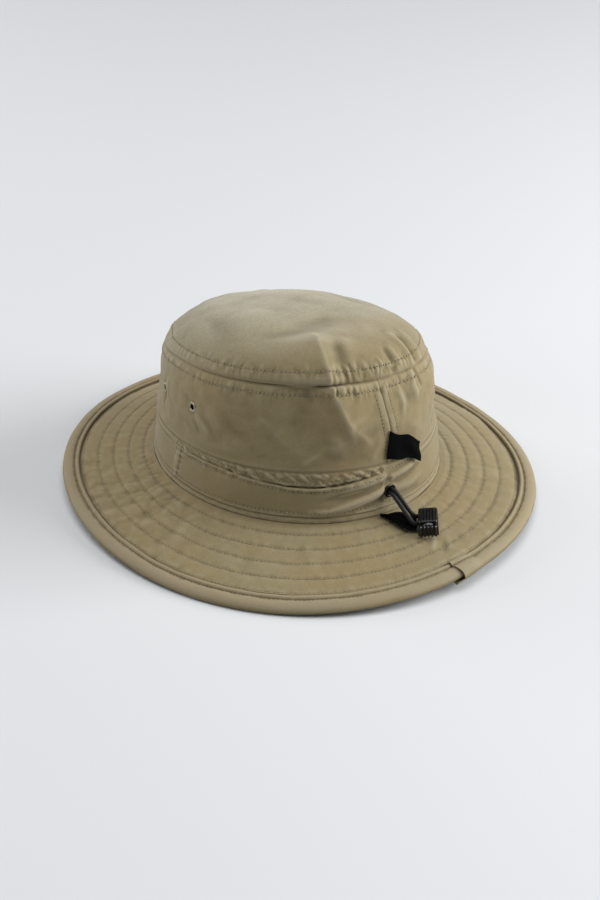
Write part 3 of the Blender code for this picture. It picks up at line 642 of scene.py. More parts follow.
WALL_FOLDS = (
    ([(61.4, 1.0), (62.4, 0.93), (65.8, 0.80), (68.6, 0.68), (71.0, 0.56)], (14.0, 9.0), 4.8, (0.0, 1.0),
     0.9),
    ([(66.0, 0.80), (70.0, 0.70), (75.0, 0.61), (80.0, 0.50)], (4.0, 6.0), 1.2, (0.5, 1.0), 0.8),
    ([(63.2, 1.0), (63.4, 0.965), (62.6, 0.92)], 0.9, -1.5, (0.1, 1.0)),
    ([(67.4, 0.99), (67.8, 0.95), (68.1, 0.91)], 1.2, -0.8, (0.2, 1.0)),
    ([(64.6, 0.99), (64.4, 0.94), (65.0, 0.90)], 1.4, -0.6, (0.2, 1.0)),
    ([(70.6, 0.99), (70.4, 0.95), (71.0, 0.90)], 1.2, -0.5, (0.2, 1.0)),
    ([(57.5, 0.56), (53.0, 0.50), (46.0, 0.42)], 2.2, 0.7, (0.7, 1.0), 0.6),
    ([(51.0, 0.99), (49.0, 0.80), (46.0, 0.56)], 11.0, -2.4, (0.3, 1.0)),
    ([(60.0, 0.74), (62.0, 0.62), (60.0, 0.50)], 4.5, 1.1, (0.8, 1.0)),
    ([(31.0, 0.93), (33.0, 0.76), (42.0, 0.60), (50.0, 0.50)], 5.0, 0.8, (0.6, 1.0), 1.0),
    ([(12.0, 0.80), (20.0, 0.66), (32.0, 0.52)], 5.0, -0.8, (0.8, 1.0)),
    ([(22.0, 0.90), (14.0, 0.74), (12.0, 0.55)], 9.0, 0.8, (0.9, 1.0)),
    ([(2.6, 0.69), (7.0, 0.62), (12.0, 0.54)], 2.2, 0.75, (0.6, 1.0)),
    ([(1.5, 0.67), (3.5, 0.58), (6.0, 0.50)], 2.0, -0.45, (0.6, 1.0)),
    ([(0.0, 0.74), (-5.0, 0.80), (-9.0, 0.86)], 3.0, -0.4, (0.6, 1.0)),
    ([(-18.5, 0.86), (-19.5, 0.74), (-18.0, 0.60)], 2.6, 0.7, (0.8, 1.0)),
    ([(-24.5, 0.88), (-24.0, 0.76), (-26.0, 0.62)], 2.6, 0.7, (0.8, 1.0)),
    ([(-21.4, 0.74), (-21.6, 0.64), (-23.0, 0.54)], 1.8, -0.5, (0.5, 1.0)),
    ([(104.0, 0.98), (103.0, 0.88), (106.0, 0.74)], 3.2, 1.3, (0.2, 1.0)),
    ([(108.5, 0.99), (109.0, 0.90), (110.0, 0.82)], 2.2, -1.0, (0.1, 1.0)),
    ([(96.0, 0.98), (97.5, 0.88), (101.0, 0.72)], 3.0, -0.8, (0.3, 1.0)),
    ([(81.5, 0.56), (80.0, 0.50), (76.0, 0.42)], 3.0, 0.6, (0.7, 1.0)),
    ([(95.0, 0.66), (103.0, 0.58), (112.0, 0.46)], 4.0, 0.7, (0.7, 1.0)),
    ([(93.0, 0.94), (95.0, 0.80), (94.0, 0.66)], 2.4, 0.7, (0.4, 1.0)),
    ([(118.0, 0.95), (122.0, 0.72), (118.0, 0.48)], 9.0, 1.0, (0.7, 0.9)),
    ([(140.0, 0.90), (136.0, 0.68), (144.0, 0.46)], 10.0, -1.2, (0.7, 0.9)),
    ([(170.0, 0.95), (176.0, 0.72), (170.0, 0.50)], 9.0, 1.3, (0.6, 0.9)),
    ([(206.0, 0.92), (200.0, 0.72), (210.0, 0.48)], 9.0, -1.2, (0.6, 0.9)),
    ([(232.0, 0.98), (228.0, 0.80), (236.0, 0.58)], 5.0, 1.4, (0.4, 0.9)),
    ([(255.0, 0.93), (250.0, 0.72), (256.0, 0.48)], 8.0, 1.2, (0.6, 0.9)),
    ([(-80.0, 0.95), (-74.0, 0.74), (-80.0, 0.50)], 8.0, -1.0, (0.6, 0.9)),
    ([(-52.0, 0.97), (-48.0, 0.78), (-52.0, 0.52)], 7.0, 1.2, (0.5, 0.9)),
)


def folds_on_wall(a, t):
    x, y = at(a, t)
    return 1.15 * folds(x, y, WALL_FOLDS, at) * MM


# where the soft crown bulges or sinks: an angle and a level, each with its reach, and millimetres outwards
SLACK = (
    (-36.0, 16.0, 1.00, 0.10, 2.6), (-46.0, 17.0, 0.68, 0.17, -2.4), (128.0, 20.0, 0.93, 0.16, 1.6),
    (138.0, 20.0, 0.55, 0.12, -1.2), (42.0, 15.0, 0.72, 0.20, -1.6), (10.0, 14.0, 0.95, 0.10, 1.0))


def sway(a, t):
    """Slack in the soft crown, sideways only, so that the wall and the tip stay joined."""
    turn = half_turn(a)
    push = MM * sum(size * bell(turn, angle, wide) * bell(t, level, high)
                    for angle, wide, level, high, size in SLACK)
    rad = np.radians(a)
    return np.stack(np.broadcast_arrays(push * np.cos(rad), push * np.sin(rad), push * 0.0), -1)


def crown_relief(a, t):
    """How far the side panels stand out from the plain wall."""
    x, y = at(a, t)
    place = wall(a, t)
    h = folds_on_wall(a, t) * step(t, 0.36, 0.46)
    h += 0.55 * MM * grain(place, 0.030, 1.0) * step(t, 0.38, 0.5)
    h += (0.36 * grain(place, 0.011, 2.0) + 0.10 * grain(place, 0.005, 2.5)) * MM * step(t, 0.38, 0.5)
    for middle, size in ((np.abs(a - back_seam(t)) * 1.62, 1.0), (np.abs(half_turn(a - FRONT)) * 1.6, 0.8)):
        h += size * MM * (0.30 * step(7.2 - middle, 0.0, 1.6) - 0.62 * bell(middle, 0.0, 0.75))
        h -= size * 0.34 * MM * bell(middle, 5.5, 0.75)
        h += size * 0.16 * MM * flat_grain(x, y, (6.0, 2.6), 3.0) * bell(middle, 4.5, 3.2)
    under = (1.0 - t) * RISE_MM
    h += 0.14 * MM * step(6.4 - under, 0.0, 1.6)
    h -= 0.26 * MM * bell(under, 5.0, 0.7)
    gathers = 0.24 * creased(ring_grain(a, y, (3.4, 7.0), 5.0)) + 0.22 * ring_grain(a, y, (6.0, 8.0), 6.0)
    h += gathers * MM * bell(under, 4.6, 3.8) * (1.0 + 1.3 * bell(a, 86.0, 20.0))
    for angle, level in VENTS.values():
        away = np.hypot(x - mm_round(angle), y - level * RISE_MM)
        h = h * (1.0 - bell(away, 0.0, 3.6)) - 0.45 * MM * bell(away, 0.0, 4.6)
    body = step(t, 0.383, 0.412) + 0.1 - 0.95 * (1.0 - step(t, 0.345, 0.375))
    top = 1.0 - step(t, 0.975, 1.0)
    return h * top + body * MM * (0.62 + 0.38 * top)


def make_panel(name, start, end, node_name):
    """One side panel between two seams, each an angle or a function of the level."""
    levels = np.r_[0.02:0.36:7j, 0.372:0.43:10j, 0.44:0.90:48j, 0.908:1.0:15j]
    share = np.linspace(0.0, 1.0, 361)[:, None]
    low = start(levels) if callable(start) else start
    high = end(levels) if callable(end) else end
    a = low + (high - low) * share
    t = np.broadcast_to(levels, a.shape)
    relief = crown_relief(a, t)
    grid = raised(wall(a, t), relief, False) + sway(a, t)
    put(cloth(name, grid, shell_cloth, 0.7 * MM, False, relief), node_name)
    return a, levels, grid


left_panel = make_panel("crown_panel_left", FRONT - 360.0, back_seam, "crown_side_left")
right_panel = make_panel("crown_panel_right", back_seam, FRONT, "crown_side_right")


def on_panel(panel, angles, levels_wanted):
    """Places on a side panel at given angles and levels."""
    a, levels, grid = panel
    low = np.interp(levels_wanted, levels, a[0])
    high = np.interp(levels_wanted, levels, a[-1])
    rows = (angles - low) / (high - low) * (len(a) - 1)
    return sampled(grid, rows, index_of(levels_wanted, levels), False)


def sew_crown():
    for panel, side in ((left_panel, -1.0), (right_panel, 1.0)):
        low, high = (-93.5, 82.0) if side < 0 else (87.0, 265.5)
        split = 60.0 if side < 0 else 110.0
        for start, end in ((low, split), (split, high)):
            angles = np.linspace(start, end, 700)
            # the painted needle-hole shade is larger near the back seam
            hole_shade = 0.48 if 59.0 < (start + end) / 2.0 < 111.0 else 0.27
            thread.add(*on_panel(panel, angles, np.full(700, WALL_ROW)), holes=hole_shade * MM)
        levels = np.linspace(0.955, 0.395, 200)
        beside = on_panel(panel, back_seam(levels) + side * 3.4, levels)
        thread.add(*beside, holes=(0.36 - 0.08 * side) * MM)
        edge = FRONT - 360.0 if side < 0 else FRONT
        thread.add(*on_panel(panel, np.full(200, edge - side * 3.4), levels))


sew_crown()


TIP_FOLDS = (
    ([(19, 36), (30, 56), (34.5, 68), (36, 76)], (7.5, 16.0), 5.2, (1.0, 0.0), 1.0),
    ([(15, 52), (20, 60), (24.5, 69), (26, 79)], 4.4, -2.3, (1.0, 0.2)),
    ([(5, 52), (14, 62), (21, 74)], 6.0, 1.4, (1.0, 0.2)),
    ([(33.6, 70), (34.2, 77)], 1.0, -1.2, (1.0, 0.0)),
    ([(30.4, 71), (31.0, 78)], 1.2, -0.7, (1.0, 0.0)),
    ([(26.0, 71), (26.6, 78)], 1.2, -0.8, (1.0, 0.0)),
    ([(22.0, 72), (22.4, 79)], 1.2, -0.8, (1.0, 0.0)),
    ([(16.0, 73), (16.4, 81)], 1.3, -0.7, (1.0, 0.0)),
    ([(-28, 58), (-30, 68), (-31, 78)], 3.0, -2.0, (1.0, 0.0)),
    ([(-22, 56), (-25, 67), (-26.5, 78)], 3.2, 1.5, (1.0, 0.1)),
    ([(-35, 54), (-36.5, 64), (-37, 74)], 3.0, 1.2, (1.0, 0.1)),
    ([(-10, 70), (-8, 77), (-6.5, 83)], 2.0, -1.2, (1.0, 0.0)),
    ([(-14, 68), (-12.5, 76), (-11.5, 82)], 2.2, 0.8, (1.0, 0.1)),
    ([(36, -38), (50, -18), (62, 2), (68, 18)], 11.0, -1.3, (1.0, 0.8)),
    ([(20, -20), (40, 4), (52, 26)], 14.0, 1.0, (1.0, 1.0)),
    ([(-10, 20), (8, 36), (16, 44)], 12.0, -0.9, (1.0, 1.0)),
    ([(-48, 10), (-44, 40), (-40, 60)], 12.0, 1.2, (1.0, 0.8)),
    ([(-60, -40), (-50, 0), (-58, 30)], 14.0, -1.4, (1.0, 0.8)),
    ([(0, -60), (20, -72), (34, -74)], 10.0, -1.3, (1.0, 0.4)),
    ([(-30, -60), (-26, -72), (-22, -84)], 6.0, 1.4, (1.0, 0.1)),
    ([(56, -52), (62, -44), (68, -34)], 6.0, 1.2, (1.0, 0.6)),
)


def tip_relief(a, r, place):
    """How far the tip stands out from the plain dome: folds from the seam, puckers and the seam itself."""
    x, y = place[..., 0] / MM, place[..., 1] / MM
    h = folds(x, y, TIP_FOLDS) * MM
    h += (1.4 * grain(place, 0.052, 11.0) + 0.42 * grain(place, 0.016, 12.0)) * MM
    h += 0.05 * grain(place, 0.005, 13.0) * MM
    over = np.hypot((1.0 - np.cos(np.radians(r))) * 82.0, np.sin(np.radians(r)) * 28.1)
    h += 0.14 * MM * step(8.6 - over, 0.0, 1.8)
    h -= 0.26 * MM * bell(over, 7.1, 0.75)
    puckers = 0.30 * MM * creased(ring_grain(a, over, (3.4, 7.5), 15.0, 82.0))
    puckers += 0.34 * MM * ring_grain(a, over, (6.0, 9.0), 16.0, 82.0)
    turn = np.mod(a, 360.0)
    gathered = 0.9 + 1.3 * bell(turn, 86.0, 20.0) + 0.5 * bell(turn, 20.0, 12.0)
    h += puckers * bell(over, 6.4, 4.6) * gathered
    edge = step(over, 0.0, 0.8)
    return (h * step(over, -1.5, 4.0) + 0.95 * MM) * (0.78 + 0.22 * edge) + 0.12 * MM * bell(over, 1.6, 1.4)


def make_tip():
    over = np.r_[0.0, 0.25, 0.5, 0.8, 1.2:12.0:16j, 13.0:30.0:14j, 32.5:84.0:24j]
    table = np.linspace(0.0, 89.97, 900)
    arc = [np.diff(82.0 * np.cos(np.radians(table))), np.diff(28.1 * np.sin(np.radians(table)))]
    run = np.concatenate([[0.0], np.cumsum(np.hypot(*arc))])
    rises = np.interp(over * run[-1] / over[-1], run, table)
    angles = RING + BACK
    a, r = np.meshgrid(angles, rises, indexing="ij")
    flat = tip(a, r)
    relief = tip_relief(a, r, flat)
    centre = relief[:, -1].mean()
    ease = step(r, 70.0, 89.0)
    relief = relief * (1.0 - ease) + centre * ease
    grid = raised(flat, relief, True) + sway(a, 1.0 + r / 60.0)
    put(cloth("crown_tip_cloth", grid, shell_cloth, 0.7 * MM, True, relief), "crown_tip")
    column = index_of(TIP_ROW, rises)
    # the painted needle-hole shade is larger near the back seam
    for start, end, hole_shade in ((-50.0, 54.0, 0.42), (54.0, 670.0, 0.28)):
        thread.sew(grid, np.linspace(start, end, 1200), column, holes=hole_shade * MM)


make_tip()


# ---- hat band, pocket and piping ----
BAND_FOLDS = (
    ([(87.0, 0.215), (81.0, 0.187), (70.0, 0.145), (59.0, 0.100), (46.0, 0.080)], (2.6, 2.0), 2.0,
     (0.2, 1.0)),
    ([(84.0, 0.240), (74.5, 0.215), (63.5, 0.196), (51.0, 0.165)], 2.6, -1.8, (0.3, 1.0)),
    ([(83.0, 0.290), (73.0, 0.275), (60.0, 0.245)], 2.4, 1.2, (0.5, 1.0)),
    ([(84.5, 0.135), (76.0, 0.112), (66.0, 0.085)], 2.2, -1.1, (0.3, 1.0)),
    ([(86.4, 0.222), (92.0, 0.236), (99.0, 0.256), (106.0, 0.272)], 1.6, -1.9, (0.1, 1.0)),
    ([(87.0, 0.270), (94.0, 0.288), (103.0, 0.306)], 2.0, 1.5, (0.3, 1.0)),
    ([(88.0, 0.165), (96.0, 0.165), (108.0, 0.190)], 2.6, 0.8, (0.2, 1.0)),
    ([(87.5, 0.120), (95.0, 0.105), (104.0, 0.110)], 2.2, -0.6, (0.3, 1.0)),
    ([(83.6, 0.165), (83.0, 0.125), (80.0, 0.090)], (2.0, 3.0), -1.2, (0.2, 1.0)),
    ([(38.0, 0.220), (24.0, 0.215), (8.0, 0.230)], 6.0, 0.5, (1.0, 1.0)),
    ([(130.0, 0.300), (150.0, 0.230), (168.0, 0.160)], 5.0, 0.8, (1.0, 1.0)),
    ([(190.0, 0.120), (215.0, 0.220), (238.0, 0.280)], 5.0, -0.8, (1.0, 1.0)),
    ([(258.0, 0.300), (280.0, 0.200), (300.0, 0.130)], 5.0, 0.8, (1.0, 1.0)),
    ([(312.0, 0.130), (330.0, 0.210), (342.0, 0.300)], 5.0, -0.7, (1.0, 1.0)),
)


def band_folds(a, t):
    x, y = at(a, t)
    return 1.3 * folds(x, y, BAND_FOLDS, at) * MM


def band_surface(a, t):
    """How far the band's outer face stands out, away from the pocket."""
    place = wall(a, t)
    h = 1.15 * MM + band_folds(a, t)
    h += 0.30 * MM * grain(place, 0.022, 21.0) + 0.10 * MM * grain(place, 0.008, 22.0)
    x, y = at(a, t)
    h += 0.16 * MM * creased(ring_grain(a, y, (3.4, 6.0), 23.0)) * bell(y, 6.4, 2.6)
    h -= 0.28 * MM * bell(y, 6.9, 0.7)
    around, up = at(*CORD_EYELET)
    eyelet = np.hypot(x - around, y - up)
    h = h * (1.0 - 0.75 * bell(eyelet, 0.0, 4.6)) + 0.45 * MM * bell(eyelet, 0.0, 4.6)
    return h


def make_band():
    levels = np.r_[0.050, 0.052, 0.054, 0.057, 0.062:0.37:34j, 0.376, 0.381, 0.385, BAND_TOP]
    angles = RING + FRONT - 360.0
    a, t = np.meshgrid(angles, levels, indexing="ij")
    h = band_surface(a, t)
    row = step(a, 87.5, 89.5) + step(-a, 12.0, 14.0)
    h -= 0.32 * MM * bell(t * RISE_MM, 26.9, 0.7) * row
    h = h * (0.12 + 0.88 * (1.0 - step(t, 0.366, BAND_TOP)))
    behind = step(a, POCKET[0] + 0.6, POCKET[0] + 1.6) * (1.0 - step(a, POCKET[1] - 1.6, POCKET[1] - 0.6))
    floor = 0.55 * MM - 1.0 * MM * behind * (1.0 - step(t, 0.345, 0.372))
    h = np.maximum(h - 2.6 * MM * behind, floor * (1.0 - step(t, 0.374, 0.386)))
    h -= 1.05 * MM * (1.0 - step(t, 0.050, 0.062))
    grid = raised(wall(a, t), h, True)
    put(cloth("hat_band_cloth", grid, shell_cloth, 0.45 * MM, True, h), "hat_band")
    for level, start, end in ((0.337, 84.0, 359.0), (FOOT_ROW, POCKET[1] + 0.5, 359.5)):
        rows = (np.linspace(start, POCKET[0] + end, 1200) - angles[0]) * 2.0
        thread.sew(grid, rows, index_of(level, levels))


def make_pocket():
    """The pocket's face with its lip, and the welt above the opening."""
    foot = 0.052
    angles = np.linspace(POCKET[0], POCKET[1], 190)
    share = np.r_[0.0, 0.008, 0.02, 0.04:0.90:26j, 0.925, 0.95, 0.97, 0.985, 1.0]
    a = np.repeat(angles[:, None], len(share), 1)
    mouth = pocket_mouth(a) + 0.0015 * flat_grain(mm_round(a), a * 0.0, (9.0, 1.0), 33.0)
    t = foot + (mouth - foot) * share
    x, y = at(a, t)
    h = band_surface(a, t) + 0.22 * MM
    below = (mouth - t) * RISE_MM
    lip = bell(a, 55.0, 12.0) + 0.25
    h += 0.75 * MM * bell(below, 0.9, 1.3) * lip + 0.10 * MM
    h += 0.38 * MM * flat_grain(x, y, (3.8, 5.0), 31.0) * bell(below, 1.5, 3.0)
    h -= 0.32 * MM * bell(below, 2.4, 0.6)
    h -= 0.45 * MM * bell(below, 0.0, 0.35)
    end = np.minimum(a - POCKET[0], POCKET[1] - a) * DEGREE_MM
    h -= 0.45 * MM * (1.0 - step(end, 0.0, 0.9))
    for top, bottom in POCKET_ENDS:
        ends = [at(*top), at(*bottom)]
        h -= 0.50 * MM * fold(x, y, ends, 0.75, 1.0, (0.0, 0.0))
        h += 0.75 * MM * flat_grain(x, y, (6.0, 2.4), 32.0) * fold(x, y, ends, 2.4, 1.0, (0.0, 0.0))
    h -= 1.05 * MM * (1.0 - step(t, foot, foot + 0.012))
    grid = raised(wall(a, t), h, False)
    put(cloth("pocket_face_cloth", grid, shell_cloth, 0.45 * MM, False, h), "pocket_face")

    def row(points_a, points_t):
        marks = (points_t - foot) / (pocket_mouth(points_a) - foot)
        thread.sew(grid, index_of(points_a, angles), index_of(marks, share), False)

    line = np.linspace(POCKET[0] + 1.0, POCKET[1] - 0.5, 500)
    row(line, pocket_mouth(line) - 2.4 / RISE_MM)
    row(line, np.full(500, FOOT_ROW))
    for top, bottom in POCKET_ENDS:
        row(np.linspace(top[0], bottom[0], 80), np.linspace(top[1] - 0.005, max(bottom[1], 0.06), 80))

    share = np.r_[0.0:0.86:15j, 0.90, 0.94, 0.97, 1.0]
    a = np.repeat(angles[:, None], len(share), 1)
    tuck = 0.012
    low = pocket_mouth(a) - tuck
    t = low + (BAND_TOP - low) * share
    x, y = at(a, t)
    h = 0.95 * MM + band_folds(a, t) * 0.5 + 0.22 * MM * grain(wall(a, t), 0.012, 41.0)
    slant = x + y * 1.3
    h += 0.80 * MM * creased(flat_grain(slant, y, (4.0, 5.0), 42.0)) * bell(y, 27.0, 6.0)
    h += 0.42 * MM * flat_grain(x, y, (4.0, 2.6), 43.0)
    above = (t - pocket_mouth(a)) * RISE_MM
    h -= 0.30 * MM * bell(above, 2.6, 0.5)
    h = h * (0.12 + 0.88 * (1.0 - step(t, 0.366, BAND_TOP)))
    h = np.maximum(h, (0.70 - 0.52 * step(t, 0.370, 0.386)) * MM)
    gape = 0.30 + 0.75 * step(a, 30.0, 48.0) * (1.0 - step(a, 64.0, 76.0))
    h -= gape * MM * (1.0 - step(above, 0.0, 1.6)) * (1.0 - step(t, 0.372, 0.386))
    grid = raised(wall(a, t), h, False)
    put(cloth("pocket_welt_cloth", grid, shell_cloth, 0.3 * MM, False, h), "pocket_welt")
    marks = (2.6 / RISE_MM + tuck) / (BAND_TOP - pocket_mouth(line) + tuck)
    thread.sew(grid, index_of(line, angles), index_of(marks, share), False, radius=0.2 * MM)


def make_piping():
    top = 0.0535
    a, t = np.meshgrid(RING + BACK, np.linspace(0.001, top, 9), indexing="ij")
    h = MM * (1.05 * np.sin(pi * np.clip(t / top, 0.0, 1.0)) ** 0.6)
    h += 0.14 * MM * ring_grain(a, t * RISE_MM, (4.0, 3.0), 51.0)
    h += 0.25 * MM * grain(wall(a, t), 0.020, 52.0)
    grid = raised(wall(a, t), h, True)
    put(cloth("brim_seam_piping_cloth", grid, shell_cloth, 0.4 * MM, True, h), "brim_seam_piping")


make_band()
make_pocket()
make_piping()


# ---- brim ----
BRIM_FOLDS = (
    ([(-4, 128), (4, 136), (10, 141)], 2.2, 0.9, (1.0, 1.0)),
    ([(-8, 133), (0, 142), (5, 147)], 2.0, -0.7, (1.0, 1.0)),
    ([(86, 60), (102, 72), (112, 84)], 7.0, -0.8, (1.0, 1.0)),
    ([(96, 12), (114, 22), (128, 30)], 6.0, 0.9, (0.6, 1.0)),
    ([(92, -10), (112, -8), (132, -14)], 6.0, -0.9, (0.6, 1.0)),
    ([(60, 84), (72, 100), (78, 116)], 7.0, 0.7, (0.7, 1.0)),
    ([(-66, 86), (-84, 100), (-96, 112)], 7.0, 0.8, (0.7, 1.0)),
)


def brim_relief(a, out, width, place):
    """How far the brim's cloth stands up: channels between the rows and puckers across them."""
    span = width - BRIM_SEWN_IN
    share = out / span
    h = np.zeros(out.shape)
    marks = (0.0, *BRIM_ROWS)
    hollow = 0.75 + 1.0 * bell(np.mod(a, 360.0), 140.0, 40.0)
    for low, high in zip(marks, marks[1:]):
        inside = (share > low) & (share <= high)
        part = np.clip((share - low) / (high - low), 0.0, 1.0)
        h += np.where(inside, 0.36 * MM * np.sin(pi * part) ** 0.7 * hollow, 0.0)
    for k, mark in enumerate(BRIM_ROWS):
        away = (share - mark) * span / MM
        h -= 0.26 * MM * bell(away, 0.0, 0.7)
        h += 0.20 * MM * ring_grain(a, away, (3.4, 5.0), 60.0 + k, 130.0) * bell(away, 0.0, 2.4)
    strong = 0.55 + 1.5 * bell(half_turn(a), -16.0, 24.0) + 0.4 * bell(a, 98.0, 16.0)
    h += 0.26 * MM * ring_grain(a, out / MM, (9.0, 11.0), 71.0, 130.0) * strong
    h += 0.12 * MM * creased(ring_grain(a, out / MM, (7.0, 9.0), 72.0, 130.0)) * strong
    h += 0.7 * MM * grain(place, 0.040, 73.0) * step(share, 0.0, 0.3)
    x, y = place[..., 0] / MM, place[..., 1] / MM
    return h + folds(x, y, BRIM_FOLDS) * MM


def sew_brim(rows, grid, width, first, less, count, inwards, **stitch):
    """Stitches round a layer of the brim that starts at first, is less narrower than the brim, and whose
    columns run inwards or outwards.
    """
    turns = np.linspace(0.0, len(width) - 0.01, count)
    wide = np.interp(turns, np.arange(len(width) + 1), np.append(width, width[0]))
    for mark in BRIM_ROWS:
        share = (mark * (wide - BRIM_SEWN_IN) - first) / (wide - less)
        columns = (1.0 - share if inwards else share) * (grid.shape[1] - 1)
        rows.sew(grid, turns, columns, **stitch)


def make_brim():
    """The brim's top, underside and interlining, and the rows of stitches through them."""
    angles = RING + BACK
    a = np.repeat(angles[:, None], 76, 1)
    _, _, width = brim_run(angles)
    first, less = 1.0 * MM, 4.4 * MM
    out = first + (width[:, None] - less) * np.linspace(1.0, 0.0, 76)
    flat = brim(a, out)
    relief = brim_relief(a, out, width[:, None], flat)
    relief *= step(out, 0.0, 5.0 * MM)
    inset = width[:, None] - out
    relief = np.where(inset < 12.5 * MM, np.minimum(relief, 0.0), relief)
    relief = relief - 1.3 * MM * bell(inset, 11.6 * MM, 0.95 * MM)
    rise = 0.9 * MM * (1.0 - step(out, 0.8 * MM, 3.4 * MM))
    grid = raised(flat, relief + 0.1 * MM, True)
    grid[..., 2] += rise
    put(cloth("brim_top_cloth", grid, shell_cloth, 0.7 * MM, True, relief), "brim_top")
    sew_brim(thread, grid, width, first, less, 2200, True, radius=0.2 * MM, holes=0.14 * MM)

    angles, width = angles[::2], width[::2]
    first, less = 1.7 * MM, 4.6 * MM
    out = first + (width[:, None] - less) * np.linspace(0.0, 1.0, 40)
    a = np.repeat(angles[:, None], 40, 1)
    share = out / (width[:, None] - BRIM_SEWN_IN)
    relief = np.zeros(out.shape)
    for mark in BRIM_ROWS:
        relief -= 0.25 * MM * bell((share - mark) * 52.0, 0.0, 0.9)
    flat = brim(a, out, -3.0 * MM)
    relief = relief + 0.18 * MM * ring_grain(a, out / MM, (7.0, 9.0), 81.0, 120.0)
    grid = raised(flat, relief, True)
    grid[..., 2] = np.maximum(grid[..., 2], 0.3 * MM)
    put(cloth("brim_underside_cloth", grid, shell_cloth, 0.6 * MM, True, relief), "brim_underside")
    under = Thread()
    sew_brim(under, grid, width, first, less, 1500, False, holes=0.0)
    under.finish("brim_underside_stitching", material=thread_tone)

    out = 1.8 * MM + (width[:, None] - 4.8 * MM) * np.linspace(1.0, 0.0, 12)
    grid = brim(np.repeat(angles[:, None], 12, 1), out, -1.15 * MM)
    sheet = cloth("brim_interlining_sheet", grid, lining_cloth, 0.6 * MM)
    put(sheet, "brim_interlining", slot="khaki_lining")


# the binding's outline in millimetres: how far in from the edge and how high over the brim
BINDING_SHAPE = (
    (11.3, -0.15), (11.3, 0.80), (11.0, 1.45), (10.4, 1.78), (9.6, 1.80), (8.9, 1.45), (8.45, 0.78),
    (8.1, 0.58), (7.75, 0.85), (7.2, 1.36), (6.2, 1.66), (4.9, 1.80), (3.6, 1.72), (2.4, 1.42), (1.4, 0.92),
    (0.6, 0.15), (0.15, -0.75), (0.0, -1.6), (0.2, -2.4), (0.8, -3.1), (1.7, -3.55), (3.0, -3.8),
    (5.0, -3.9), (7.2, -3.85), (7.8, -3.6), (8.3, -3.85), (9.6, -3.9), (10.8, -3.8), (11.2, -3.4))


def make_binding():
    """A folded strip round the edge: it starts on top at the back and ends under its own start."""
    start, end = BACK - 0.4, BACK + 363.4
    angles = np.linspace(start, end, 729)
    shape = np.array(BINDING_SHAPE) * MM
    a = np.repeat(angles[:, None], len(shape), 1)
    lap = 1.0 - step(angles - start, 3.6, 9.0)
    tail = step(angles - start, 355.0, 361.0)
    inner, along, width = brim_run(angles)
    inset, up = shape[:, 0][None, :], shape[:, 1][None, :]
    over = np.clip((up + 1.2 * MM) / (2.4 * MM), -1.0, 1.0)
    flare = np.exp(-(angles - start) / 5.0)
    deep = 11.4 * MM
    inset = inset - (1.9 * MM * flare)[:, None] * (1.0 - inset / deep)
    up = up + 1.35 * MM * lap[:, None] * over - 0.25 * MM * tail[:, None] * over
    inset = inset + 0.5 * MM * tail[:, None] * (1.0 - inset / deep)
    ripple = 0.18 * MM * ring_grain(a, inset / MM, (3.6, 5.0), 91.0, 158.0) * bell(inset / MM, 8.2, 3.2)
    ripple += 0.22 * MM * ring_grain(a, inset / MM, (16.0, 8.0), 92.0, 158.0)
    up = up + (ripple + 0.35 * MM * ring_grain(a, inset * 0.0, (34.0, 1.0), 93.0, 158.0)) * (over > 0.3)
    slant = np.radians((1.2 * inset / deep - 1.8) * lap[:, None]) * (over > -0.2)
    grid = inner[:, None] + along[:, None] * (width[:, None] - inset)[..., None]
    turned_x = grid[..., 0] * np.cos(slant) + grid[..., 1] * np.sin(slant)
    turned_y = grid[..., 1] * np.cos(slant) - grid[..., 0] * np.sin(slant)
    grid[..., 0], grid[..., 1] = turned_x, turned_y
    grid[..., 2] += up
    grid[..., 2] = np.maximum(grid[..., 2], 0.25 * MM)
    grid = grid[:, ::-1]
    relief = (up + ripple)[:, ::-1]
    put(cloth("brim_binding_cloth", grid, binding_cloth, 0.6 * MM, False, relief), "brim_edge_binding")
    rows = np.linspace(2.0, 712.0, 3000)
    for groove, radius in ((7.0, 0.20), (24.0, 0.24)):
        thread.sew(grid, rows, len(shape) - 1 - groove, False, radius=radius * MM, holes=0.0)


make_brim()
make_binding()


# ---- inside: sweatband and seam tapes ----
def make_sweatband():
    """A folded band inside the crown, sewn shut along its foot, with the drawcord in its channel."""
    path = [(0.20, -1.7), (0.04, -1.7), (0.02, -2.4), (0.03, -4.4), (0.045, -5.8), (0.10, -6.4),
            (0.20, -6.5), (0.30, -6.5), (0.350, -6.3), (0.366, -5.6), (0.374, -4.4), (0.374, -3.2),
            (0.366, -2.3), (0.345, -1.75)]
    angles = RING + FRONT - 360.0
    columns = [wall(angles, np.full(720, level), out * MM) for level, out in path]
    fine = [low * (1.0 - s) + high * s for low, high in zip(columns, columns[1:])
            for s in (0.0, 0.25, 0.5, 0.75)]
    flat = blur_columns(np.stack([*fine, columns[-1]], 1))
    relief = 0.20 * MM * ring_grain(angles[:, None], np.arange(flat.shape[1]) * 1.3, (5.0, 16.0), 101.0)
    grid = raised(flat, relief, True)
    band = cloth("sweatband_cloth", grid, lining_cloth, 0.6 * MM, True, relief)
    put(band, "sweatband", slot="khaki_lining")
    inside = Thread()
    for column in (19.0, 34.0):
        inside.sew(grid, np.linspace(0.0, 719.9, 1400), column, holes=0.0)
    inside.finish("sweatband_stitching", slot="khaki_lining", material=thread_tone)


def blur_columns(grid):
    result = grid.copy()
    for _ in range(3):
        result[:, 1:-1] = result[:, 1:-1] * 0.5 + (result[:, :-2] + result[:, 2:]) * 0.25
    return result


